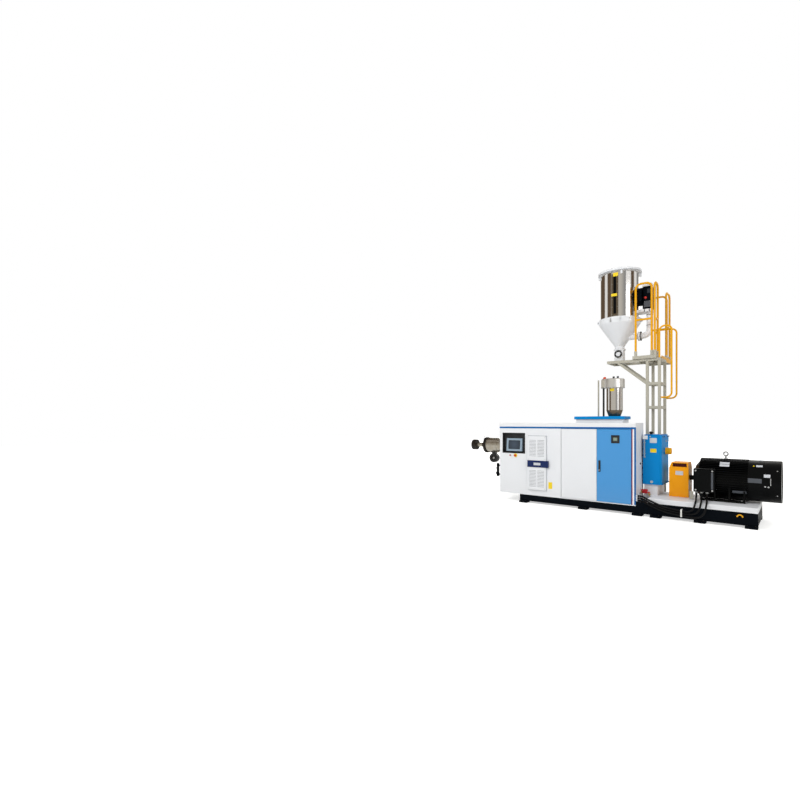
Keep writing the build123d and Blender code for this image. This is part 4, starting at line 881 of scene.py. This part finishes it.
def cowl_spot(depth):
    """The middle of the cowl's end, this deep behind its rim."""
    return Vector((cowl_high.x - depth, axis_y, cowl_z))


def radial(t):
    """The outward direction in the cowl's end at a turn, and the one along the circle."""
    return Vector((0, math.cos(t), math.sin(t))), Vector((0, -math.sin(t), math.cos(t)))


grille("cowl_grille", cowl_spot(0.006), RIGHT, 0.050, 0.316, 13, 0.0020)
spokes = [radial(t)[0] for t in turns(6, math.radians(15))]
build("cowl_spokes", blackened_steel, *[(bar, cowl_spot(0.010) + spoke * 0.040, cowl_spot(0.010) + spoke * 0.3195,
      3, 10) for spoke in spokes], (turned, cowl_spot(0.012), RIGHT, [(0, 52), (5, 52), (7, 46)], 40))
blades = []
for way, side in map(radial, turns(7)):
    corners = ((0.05, -0.022, 0.0), (0.05, 0.022, 0.004), (0.29, 0.050, 0.006), (0.29, -0.050, 0.0))
    blades.append((loft, [[cowl_spot(0.0285) + way * a + side * b + Vector((c + thick, 0, 0))
                           for a, b, c in corners] for thick in (0.0, 0.003)]))
build("cowl_fan", blower_abs, *blades, (turned, cowl_spot(0.0295), RIGHT, [(0, 60), (12, 56), (16, 0)]))
blower_low, blower_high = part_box("barrel_blower")
blower_x, blower_y, blower_z = (blower_low.x + blower_high.x) / 2, blower_low.y, blower_low.z + 0.109
grille("blower_grille", (blower_x, blower_y + 0.003, blower_z), FRONT, 0.030, 0.0560, 4, 0.0014)
build("blower_motor_end", zinc_steel, (turned, (blower_x, blower_y + 0.024, blower_z), FRONT,
      [(0, 29), (14, 27), (20, 18), (21.5, 0)]))
build("blower_inlet_lip", blower_abs, (sleeve, (blower_x, blower_y + 0.0005, blower_z), FRONT,
      [(0, 58.5), (0, 78), (3, 76), (4, 66), (3, 58.5)], 48))

# %% [markdown]
# The motor carries several small blank plates, a lifting handle on its cowl, a grease nipple cap
# and an earth screw. Each plate lies flat against a round body and faces outwards from the shaft,
# so it is placed by its angle round it. A bright rim closes the cowl's end, and a thicker skin
# makes the lifting eye as stout as a forged one. A grey strip down the right of the terminal
# box's front is a painted highlight on its rounded edge.

# %% Plates and fittings of the motor
COWL_RADIUS, FRAME_RADIUS, SHAFT_Z = 0.3515, 0.3752, 0.690


def up_round(degrees):
    """The outward direction at an angle up from the front, and the one that climbs the circle."""
    t = math.radians(degrees)
    return Vector((0, -math.cos(t), math.sin(t))), Vector((0, math.sin(t), math.cos(t)))


def round_plate(name, x, degrees, on_cowl, size, finish):
    """A flat plate tangent to the cowl or to the ribbed frame."""
    out_way, up_way = up_round(degrees)
    radius, z = (COWL_RADIUS, cowl_z) if on_cowl else (FRAME_RADIUS, SHAFT_Z)
    centre = Vector((x, axis_y, z)) + out_way * radius
    build(name, finish, (loft, [[centre + Vector((a * size[0] / 2, 0, 0)) + up_way * (b * size[1] / 2)
          + out_way * depth for a, b in SQUARE] for depth in (0.0, 0.003)]), bevel=0.8)


round_plate("motor_plate_upper", 1.300, 55.0, False, (0.140, 0.050), label_silver)
round_plate("motor_plate_lower", 1.300, 46.0, False, (0.140, 0.050), label_silver)
round_plate("cowl_plate_upper", 1.782, 49.5, True, (0.087, 0.042), label_silver)
round_plate("cowl_plate_lower", 1.888, 19.5, True, (0.085, 0.052), label_silver)
round_plate("cowl_strip", 1.726, 5.0, True, (0.187, 0.074), screen_grey_dark)
round_plate("frame_strip", 1.517, -26.0, False, (0.194, 0.046), screen_grey_dark)


def cowl_knob(x, degrees, profile, sides):
    """A turned part that stands outwards on the cowl."""
    out_way = up_round(degrees)[0]
    return turned, Vector((x, axis_y, cowl_z)) + out_way * 0.3512, out_way, profile, sides


screws = ((1.864, -9.5, 9), (1.908, -10.5, 9), (2.020, 35.0, 7), (2.020, -35.0, 7))
build("cowl_screws", zinc_steel, *[cowl_knob(x, degrees, [(0, r * 1.4), (2, r * 1.4), (2.5, r), (7, r * 0.9), (8, 0)],
                                             18) for x, degrees, r in screws])
build("grease_cap_yellow", label_yellow, cowl_knob(1.706, 49, [(0, 12), (4, 11), (9, 6), (10, 0)], 20))
build("cowl_top_cap", label_silver, (turned, (1.800, axis_y - 0.05, cowl_high.z - 0.0055), UP,
      [(0, 30), (10, 29), (14, 22), (15, 0)], 28))
build("cowl_handle", zinc_steel, (bar, (1.936, 0.394, 0.672), (1.936, 0.394, 0.782), 6.5, 16),
      *[(bar, (1.936, 0.394, z), (1.936, 0.418, z), 6.5, 16) for z in (0.676, 0.778)])
build("cowl_band", motor_enamel, (sleeve, (1.6290, axis_y, cowl_z), RIGHT,
      [(0, 350), (0, 353.8), (16, 353.8), (16, 350)], 72), bevel=0.6)
build("cowl_rim", zinc_steel, (sleeve, cowl_spot(0.007), RIGHT,
      [(0, 351.2), (0, 352.4), (5, 352), (6.8, 349), (6.8, 342), (6, 340), (5, 349)], 96))
build("lifting_eye_skin", zinc_steel,
      (sleeve, (1.296, axis_y, 1.152), BACK, [(13 * math.cos(t), 32.5 + 13 * math.sin(t)) for t in turns(16)], 40),
      (sleeve, (1.296, axis_y, 1.064), UP, [(0, 14), (0, 30), (5, 30), (9, 20), (18, 16.5), (46, 16), (46, 14)], 32))
# A grey strip down the right of the terminal box's front is a painted highlight on its rounded edge.
plate("terminal_painted_highlight", (1.146, box_low.y, 0.695), (0.030, 0.290), screen_grey_dark)
build("terminal_gasket", seal_rubber, (slab, (0.872, 0.2945, 0.496), (1.179, 0.2965, 0.894)), bevel=0.6)

# %% [markdown]
# Below the motor the base has lifting lugs, the nearest one painted yellow round its eye. A thin
# painted half ring on the lug's face gives that without touching the lug itself.

# %% Lifting lugs
def weld(form):
    """Join the corners that neighbouring pieces share."""
    bmesh.ops.remove_doubles(form, verts=form.verts, dist=0.00001)


arcs = []
for step in range(16):
    ends = math.pi * step / 16, math.pi * (step + 1) / 16
    corners = [(t, radius) for radius, order in ((0.027, ends), (0.0465, ends[::-1])) for t in order]
    arcs.append((loft, [[(1.559 - math.cos(t) * radius, y, 0.171 + math.sin(t) * radius) for t, radius in corners]
                        for y in (-0.0150, -0.0141)]))
build("lug_paint", rail_yellow_enamel, *arcs, (weld,), smooth=False)

# %% [markdown]
# The vacuum loader stands on the feed opening. Its lid shows a grey third to the left, with the
# signal lamp, and a bright rest with two round switches. The grey is painted shade. A clamp ring
# joins lid and barrel. The blank yellow plate is where a tag would be.

# %% Vacuum loader
LID = Vector((-0.615, axis_y, 0.0))
LOADER_TOP, CAP_TOP = 2.415, 2.600


def at_bearing(degrees):
    """The level outward direction at a bearing, and the one along the circle."""
    t = math.radians(degrees)
    return Vector((math.cos(t), math.sin(t), 0)), Vector((-math.sin(t), math.cos(t), 0))


def up(z):
    """A height as a vector."""
    return Vector((0, 0, z))


build("signal_lens", lens_orange, (turned, (-0.776, axis_y, CAP_TOP - 0.001), UP,
      [(0, 30), (28, 30), (42, 26.2), (51, 17), (54, 0)], 28))
for x, name, finish in ((-0.600, "lid_switch_black", black_abs), (-0.520, "lid_switch_grey", screen_grey_dark)):
    build(name, finish, (turned, (x, axis_y, CAP_TOP - 0.001), UP,
          [(0, 24), (18, 24), (21, 20.5), (50, 20.5), (54.5, 16), (55, 0)], 24), slot="black_plastic")
# The left third of the lid's side is warm grey, a painted shade.
lid_painted_shade = moulded("warm grey painted shade on lid side", "#B5AFA2", 0.45, 0.03)
lid_section = ((0.216, 2.427), (0.2212, 2.427), (0.2212, 2.577), (0.216, 2.577))
build("lid_painted_shade_side", lid_painted_shade, (loft, [[LID + at_bearing(118 + step * 124 / 18)[0] * radius + up(z)
                                          for radius, z in lid_section] for step in range(19)]))
build("loader_clamp_ring", zinc_steel, (sleeve, LID + up(LOADER_TOP - 0.004), UP,
      [(0, 218.5), (0, 222.5), (3, 224.5), (11, 224.5), (14, 222.5), (14, 218.5)], 96))
pipe_low, pipe_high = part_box("loader_pipes")
pipe_mm = (pipe_high.z - 1.8365) * MM
build("vent_pipe_paint", tower_grey_enamel, (sleeve, (pipe_low.x + 0.014, axis_y, 1.8385), UP,
      [(0, 13.8), (0, 15.2), (pipe_mm, 15.2), (pipe_mm, 13.8)], 24))
# A darker brown band low on the loader's cone is a painted reflection.
build("loader_cone_painted_reflection", stainless_painted_reflection, (sleeve, (-0.583, axis_y, 1.8380), UP,
      [(0, 110), (0, 112.8), (118, 154), (123, 154), (123, 152), (118, 152)], 72))
clips = []
for degrees in (75, 105):
    way = at_bearing(degrees)[0]
    foot = LID + way * 0.2225 + up(LOADER_TOP)
    clips += [(bar, foot - up(0.018), foot + up(0.052), 4.5, 12),
              (bar, foot + up(0.040), foot + way * 0.006 + up(0.060), 6, 12)]
build("loader_latches", blackened_steel, *clips)
plate("loader_tag_plate", (-0.586, axis_y - 0.1540, 2.372), (0.078, 0.056), label_yellow)

# %% [markdown]
# The dryer hopper is the bright drum on top of the tower. Its cone hangs from a ring with lifting
# lugs, and quick latches hold cone and drum together. Up its front runs a dark sight glass in a
# stainless cover whose colour is darkened brown, a painted reflection. The port low on the cone
# has a black ring with a pale cover inside.

# %% Dryer hopper
build("sight_pane", motor_enamel, (slab, (-0.6760, 0.9984, 3.9880), (-0.6200, 1.0004, 4.7790)),
      slot="black_plastic", bevel=0.6)
sight_low, sight_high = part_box("sight_glass")
sight_heights = (3.975, 4.130, 4.290, 4.450, 4.610, 4.790)
bolts("sight_screws", grid((sight_low.x + 0.012, sight_high.x - 0.012), sight_low.y, sight_heights, FRONT), 9,
      zinc_steel)
plate("hopper_plate_upper", (-0.6310, sight_low.y - 0.0015, 4.806), (0.100, 0.075), label_yellow)
plate("hopper_plate_middle", (-0.660, sight_low.y - 0.0018, 4.382), (0.116, 0.056), label_yellow)
ring_low = Vector((drum_x, drum_y, cone_top - 0.115))
LUG_OUTLINE = ((0.0, 0.012), (0.042, 0.040), (0.046, 0.062), (0.040, 0.099), (0.0, 0.109))
LUG_BEARINGS, LATCH_BEARINGS = (197.3, 13.4, 105.0, 285.0), (-47.5, -100.0, 132.5, 60.0)
lugs, pins, clips = [], [], []
for way, side in map(at_bearing, LUG_BEARINGS):
    lugs.append((loft, [[ring_low + way * (0.400 + reach) + side * offset + up(z) for reach, z in LUG_OUTLINE]
                        for offset in (-0.006, 0.006)]))
    eye = ring_low + way * 0.430 + up(0.066)
    pins.append((bar, eye - side * 0.010, eye + side * 0.010, 7.5, 16))
for way, side in map(at_bearing, LATCH_BEARINGS):
    for lift, half, depth in ((0.031, 0.016, 0.010), (0.070, 0.010, 0.007)):
        clips.append((loft, [[ring_low + way * (0.4018 + d) + side * a * half + up(lift + b * 0.020)
                              for a, b in SQUARE] for d in (0.0, depth)]))
    low = ring_low + way * 0.4145 + up(0.022)
    clips.append((bar, low, low + up(0.060), 3, 10))
build("hopper_ring_lugs", white_powder, *lugs, bevel=1.5)
build("hopper_lug_pins", blackened_steel, *pins)
build("hopper_latches", zinc_steel, *clips, bevel=1)
build("lid_seal", seal_rubber, (sleeve, (drum_x, drum_y, 4.884), UP, [(0, 424), (0, 426.2), (8, 426.2), (8, 424)], 96))
PORT_Y, PORT_Z = 1.276, 3.175
build("port_ring", black_abs, (sleeve, (drum_x, PORT_Y + 0.0005, PORT_Z), FRONT,
      [(0, 47), (0, 79.5), (3, 79.5), (4.2, 76.5), (4.2, 50), (3, 47)], 48))
build("port_cover", white_powder, (turned, (drum_x, PORT_Y + 0.016, PORT_Z), FRONT,
      [(0, 45.5), (4, 45.5), (8, 38), (12, 18), (13, 0)], 40))
bolts("port_bolts", ring_seats((drum_x, PORT_Y - 0.0037, PORT_Z), FRONT, 0.0645, 6, 0.3), 11, zinc_steel)
bolts("outlet_bolts", ring_seats((drum_x, drum_y, outlet_top - 0.001), UP, 0.108, 8), 12, zinc_steel)

# %% [markdown]
# Beside the drum stands the dryer: a black box with a pale lid and a fan drum. Its front has a
# small display, a red switch and a grey panel. The duct down to the cone has dark rubber collars.

# %% Dryer
DRYER_FACE = 1.2455
build("dryer_lid", white_powder, (slab, (-0.1785, 1.2420, 4.5120), (-0.0065, 1.5480, 4.5735)), bevel=4, segments=3)
build("dryer_switch", button_red, (turned, (-0.118, DRYER_FACE, 4.281), FRONT,
      [(0, 26), (4, 26), (5, 21), (16, 19.5), (16.5, 0)], 28))
plate("dryer_display", (-0.061, DRYER_FACE, 4.413), (0.055, 0.090), display_glass, thickness=0.004)
plate("dryer_panel", (-0.0885, DRYER_FACE, 4.1485), (0.117, 0.127), screen_grey_dark, thickness=0.003)
bolts("dryer_panel_screws", grid((-0.140, -0.037), 1.2426, (4.093, 4.204), FRONT), 8, zinc_steel)
build("dryer_fan_rim", blower_abs, (sleeve, (-0.2728, 1.336, 4.330), LEFT,
      [(0, 110), (0, 186), (4, 184), (6, 176), (4, 112)], 64))
bolts("dryer_fan_bolts", ring_seats((-0.2785, 1.336, 4.330), LEFT, 0.150, 8, 0.2), 12, zinc_steel)
build("dryer_straps", blackened_steel, (slab, (-0.146, 1.2385, 3.995), (-0.134, 1.2450, 4.050)),
      (slab, (-0.054, 1.2385, 3.995), (-0.042, 1.2450, 4.050)), bevel=1)
build("duct_collars", seal_rubber, *[(sleeve, (x, drum_y, 3.525), RIGHT,
      [(0, 61), (0, 96.8), (3, 97.8), (7.5, 96.8), (7.5, 61)], 64) for x in (-0.2835, -0.2420)])
build("duct_clamps", zinc_steel, *[(sleeve, (-0.072, drum_y, z), UP,
      [(0, 59.5), (0, 62.5), (4, 64), (18, 64), (22, 62.5), (22, 59.5)], 48) for z in (3.720, 3.935)])

# %% [markdown]
# Underfoot the platform is chequer plate. The raised lozenges repeat by the hundred, so Geometry
# Nodes lays them on a grid, each turned a quarter against its neighbour by its number in the row.
# The handrail feet stand in grey sockets, and the toe board carries the rail's yellow.

# %% Chequer plate by Geometry Nodes
tread_sizes = {"Width": 0.405, "Depth": 1.400, "Across": 14, "Along": 47, "Lozenge": 0.0105}
tread_tree, given = geometry_tree("chequer plate", tread_sizes)
field = add_node(tread_tree, "GeometryNodeMeshGrid", {"Size X": given["Width"], "Size Y": given["Depth"],
                 "Vertices X": given["Across"], "Vertices Y": given["Along"]}).outputs["Mesh"]
odd = maths(tread_tree, "MODULO", add_node(tread_tree, "GeometryNodeInputIndex").outputs[0], 2.0)
quarter = maths(tread_tree, "MULTIPLY_ADD", odd, math.pi / 2, math.pi / 4)
lozenge = moved(tread_tree, cylinder(tread_tree, 8, given["Lozenge"], 0.0024), Scale=(1.0, 0.36, 1.0))
treads = copies(tread_tree, field, lozenge, Rotation=vector(tread_tree, Z=quarter))
close_tree(tread_tree, given, copies(tread_tree, given["Seats"], treads))
DECK_TOP = 3.075
settle(seat_points("deck_treads", [((-0.110, 1.825, DECK_TOP), UP)]), tread_tree, tread_sizes, tower_grey_enamel)

# %% Toe board and rail sockets
build("toe_board_paint", rail_yellow_enamel, (slab, (0.1095, 1.5590, 3.0095), (0.1187, 2.5560, 3.1057)), bevel=1)
front_feet = [(-0.275, 1.125), (0.024, 1.125), (0.080, 1.118), (0.080, 1.373)]
rail_feet = front_feet[:2] + [(-0.275, 2.525), (0.024, 2.525)] + front_feet[2:] + [(0.080, 2.165), (0.080, 2.520)]
build("rail_sockets", tower_grey_enamel, *[(sleeve, (x, y, DECK_TOP + 0.0004), UP,
      [(0, 22.2), (0, 28.2), (92, 28.2), (95.8, 26.2), (95.8, 22.2)], 32) for x, y in rail_feet])
bolts("socket_screws", [((x, y - 0.0280, DECK_TOP + 0.055), FRONT) for x, y in front_feet], 11, zinc_steel)

# %% [markdown]
# At the barrel's end the clamp closes on a blackened retainer plate. Low on the housing, below
# the blower, stands a black bracket strip with two round fittings. A thermocouple stands on the
# adapter's cone with its small head. The thin feed box below the blue cover is painted white like
# the cabinet.

# %% Barrel end
build("retainer_skin", blackened_steel, (sleeve, (-3.5553, axis_y, axis_z), RIGHT,
      [(0, 119.5), (0, 185), (2, 187.2), (47.5, 187.2), (49.5, 185), (49.5, 159.5)], 72))
build("probe_stem", zinc_steel, (turned, (-3.615, axis_y, axis_z + 0.085), UP,
      [(0, 11), (18, 11), (19, 4.5), (118, 4.5), (119, 0)], 20))
build("probe_head", label_silver, (turned, (-3.615, axis_y, 1.281), UP,
      [(0, 18), (4, 25), (36, 25), (40, 27), (48, 27), (54, 20), (55, 0)], 28))
arms = []
for z in (0.455, 0.665):
    arms += [(slab, (-3.230, 0.732, z), (-3.090, 0.788, z + 0.036)),
             (slab, (-3.094, 0.712, z - 0.020), (-3.0802, 0.808, z + 0.056))]
build("blower_bracket", black_enamel, (slab, (-3.255, 0.720, 0.420), (-3.225, 0.800, 0.735)), *arms,
      (turned, (-3.240, 0.726, 0.500), FRONT, [(0, 30), (24, 28), (30, 16)], 24),
      (turned, (-3.240, 0.726, 0.620), FRONT, [(0, 22), (18, 20), (22, 12)], 24), bevel=1.5)
build("feed_box_skin", white_powder, (slab, (-1.2912, 0.5588, 1.6905), (-0.3688, 0.5600, 1.7765)),
      (slab, (-1.2912, 0.9600, 1.6905), (-0.3688, 0.9612, 1.7765)),
      (slab, (-1.2912, 0.5600, 1.6905), (-1.2900, 0.9600, 1.7765)),
      (slab, (-0.3700, 0.5600, 1.6905), (-0.3688, 0.9600, 1.7765)), smooth=False)
cover_low, cover_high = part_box("feed_cover")
build("feed_cover_seal", seal_rubber, (slab, (cover_low.x + 0.004, cover_low.y + 0.010, 1.7768),
      (cover_high.x - 0.004, cover_high.y - 0.010, 1.7812)), bevel=1)

# %% [markdown]
# Seen from behind, the housing round the barrel breathes through five slatted panels. The slats
# come from the same tree as the cooler's. In front of the back wall the cabinet holds its
# mounting plate with rails of switchgear: modules in rows between cable ducts, laid by a tree
# that stands one module on every seat, so an open door shows a real cabinet.

# %% Panels of the rear housing
panel_middles = [-3.080 + (index + 0.5) * 0.550 for index in range(5)]
slats("rear_slats", grid(panel_middles, 0.9972, [axis_z + (row - 9.5) * 0.027 for row in range(20)], UP),
      0.414, 0.0040, 0.0120, 22, white_powder)
bolts("rear_panel_screws", grid([x + dx for x in panel_middles for dx in (-0.228, 0.228)], 1.000,
      (axis_z - 0.265, axis_z + 0.265), BACK), 11, zinc_steel)

# %% Switchgear by Geometry Nodes
module_tree, given = geometry_tree("switchgear", {"Wide": 0.032, "Deep": 0.060, "High": 0.080})
case = cube(module_tree, given["Wide"], given["Deep"], given["High"])
nose = cube(module_tree, maths(module_tree, "MULTIPLY", given["Wide"], 0.86), 0.018,
            maths(module_tree, "MULTIPLY", given["High"], 0.45))
reach = maths(module_tree, "MULTIPLY_ADD", given["Deep"], -0.5, -0.008)
module = joined(module_tree, case, moved(module_tree, nose, Translation=vector(module_tree, Y=reach)))
close_tree(module_tree, given, copies(module_tree, given["Seats"], module))

build("mounting_plate", zinc_steel, (slab, (-1.330, 0.5150, 0.250), (-0.095, 0.5180, 1.520)),
      *[(slab, (-1.290, 0.5080, z - 0.017), (-0.135, 0.5150, z + 0.017))
        for z in (0.360, 0.600, 0.840, 1.080, 1.320)], bevel=1)
build("cable_ducts", screen_grey_abs, *[(slab, (-1.310, 0.4450, z - 0.024), (-0.115, 0.5150, z + 0.024))
                                        for z in (0.480, 0.720, 0.960, 1.200, 1.440)],
      *[(slab, (x - 0.0125, 0.4450, 0.290), (x + 0.0125, 0.5150, 1.480)) for x in (-1.325, -0.100)], bevel=2)
rows = ((1.320, 0.036, 0.070, 0.085, -1.270, -0.700, "module_row_1", black_abs),
        (1.320, 0.056, 0.080, 0.110, -0.650, -0.160, "module_row_2", label_silver),
        (1.080, 0.045, 0.075, 0.090, -1.270, -0.180, "module_row_3", recess_black),
        (0.840, 0.110, 0.110, 0.150, -1.230, -0.680, "module_row_4", screen_grey_dark),
        (0.840, 0.018, 0.050, 0.075, -0.620, -0.160, "module_row_5", label_silver),
        (0.600, 0.045, 0.075, 0.090, -1.270, -0.640, "module_row_6", black_abs),
        (0.360, 0.014, 0.045, 0.060, -1.270, -0.180, "terminal_row", screen_grey_abs))
for z, wide, deep, high, left, right, name, finish in rows:
    pitch = wide * 1.06
    spots = [((left + (k + 0.5) * pitch, 0.508 - deep / 2, z), FRONT) for k in range(int((right - left) / pitch))]
    settle(seat_points(name, spots), module_tree, {"Wide": wide, "Deep": deep, "High": high}, finish)
print("switchgear rows", len(rows))

# %% [markdown]
# The stage is a pale floor and plain soft light: one large lamp high in front, a weaker one from
# the motor's side and one from behind, so that every side reads. Shiny faces don't mirror the
# large lamp, or flat steel would blind and the blacks would turn grey. What the camera sees past
# the machine is white, but polished steel needs something darker to mirror, or it turns into
# paper. So the white that reflections see has a few upright grey bands in it, as grey screens
# beside a photographer's table would give. The floor glows a little more with distance, where
# the lamps no longer reach, so that it runs into the white without a line.

# %% Floor
FLOOR_HALF = 40.0
floor_form = bmesh.new()
floor_form.faces.new([floor_form.verts.new((x * FLOOR_HALF, y * FLOOR_HALF, -0.002)) for x, y in SQUARE])
floor_mesh = bpy.data.meshes.new("floor")
floor_form.to_mesh(floor_mesh)
floor_form.free()
floor = stand("floor", floor_mesh)
floor_paint, tree, ground = new_material("pale studio floor")
rays = add_node(tree, "ShaderNodeLightPath")
matt = add_node(tree, "ShaderNodeBsdfDiffuse", {"Color": linear("#F4F4F2")})
away = add_node(tree, "ShaderNodeVectorMath", {0: ground, 1: (-1.0, 0.8, 0.0)}, operation="DISTANCE")
fade = ranged(tree, away.outputs["Value"], 4.0, 14.0, 0.52, 1.0)
glow = add_node(tree, "ShaderNodeEmission", {"Color": linear("#FFFFFF"), "Strength": fade})
lit = add_node(tree, "ShaderNodeAddShader", {0: matt.outputs[0], 1: glow.outputs[0]})
seen = add_node(tree, "ShaderNodeMixShader", {0: rays.outputs["Is Camera Ray"], 1: matt.outputs[0],
                2: lit.outputs[0]})
add_node(tree, "ShaderNodeOutputMaterial", {"Surface": seen.outputs[0]})
floor_mesh.materials.append(floor_paint)
floor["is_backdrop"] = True

# %% World and lamps
world = bpy.data.worlds.new("studio")
bpy.context.scene.world = world
world.use_nodes = True
tree = world.node_tree
tree.nodes.clear()
rays = add_node(tree, "ShaderNodeLightPath")
direction = add_node(tree, "ShaderNodeSeparateXYZ", {0: add_node(tree, "ShaderNodeTexCoord").outputs["Generated"]})
bearing = maths(tree, "ARCTAN2", direction.outputs["Y"], direction.outputs["X"])
screens = add_node(tree, "ShaderNodeValToRGB", {"Fac": ranged(tree, bearing, -math.pi, math.pi)})
ramp = screens.color_ramp
ramp.interpolation = "EASE"
gap, pale_screen, grey_screen, dark_screen = map(linear, ("#FFFFFF", "#D0CCC4", "#999999", "#665544"))
bands = ((0.01, dark_screen), (0.02, gap), (0.07, gap), (0.08, dark_screen), (0.14, dark_screen),
         (0.16, pale_screen), (0.30, pale_screen), (0.39, grey_screen), (0.40, gap), (0.48, gap),
         (0.49, dark_screen), (0.54, dark_screen), (0.56, gap), (0.61, gap), (0.62, grey_screen),
         (0.69, grey_screen), (0.70, pale_screen), (0.85, pale_screen), (0.87, dark_screen))
while len(ramp.elements) > 1:
    ramp.elements.remove(ramp.elements[-1])
ramp.elements[0].position, ramp.elements[0].color = bands[0]
for place, shade in bands[1:]:
    ramp.elements.new(place).color = shade


def background(color, strength):
    """One light of the surroundings."""
    return add_node(tree, "ShaderNodeBackground", {"Color": color, "Strength": strength}).outputs[0]


soft, white = background(linear("#FAF9F6"), 0.63), background(linear("#FFFFFF"), 1.0)
for_metal = add_node(tree, "ShaderNodeMixShader", {0: rays.outputs["Is Glossy Ray"], 1: soft,
                     2: background(screens.outputs[0], 1.0)})
for_camera = add_node(tree, "ShaderNodeMixShader", {0: rays.outputs["Is Camera Ray"],
                      1: for_metal.outputs[0], 2: white})
add_node(tree, "ShaderNodeOutputWorld", {"Surface": for_camera.outputs[0]})


def lamp(name, place, aim, size, watts):
    """A soft square lamp that points at a spot."""
    data = bpy.data.lights.new(name, "AREA")
    data.shape = "SQUARE"
    data.size = size
    data.energy = watts
    made = stand(name, data)
    made.location = place
    made.rotation_euler = (Vector(aim) - Vector(place)).to_track_quat("-Z", "Y").to_euler()
    return made


lamp("key", (-3.5, -8.0, 7.5), (-1.0, 0.5, 1.4), 5.0, 440).visible_glossy = False
lamp("motor_side", (8.5, -3.0, 5.0), (0.5, 0.6, 1.2), 4.0, 200)
lamp("behind", (-1.0, 9.0, 7.0), (-1.0, 0.8, 1.5), 5.0, 170)
bpy.context.scene.view_settings.view_transform = "Standard"

# %% [markdown]
# Last, the sizes. The dressed machine has to stay inside the box of the solids, apart from a
# hair of paint and bolt heads, so both boxes are printed side by side.

# %% Sizes
dressed_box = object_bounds()
for label, box in (("solids", cad_box), ("dressed", dressed_box)):
    print(label, [[round(value, 3) for value in corner] for corner in box])
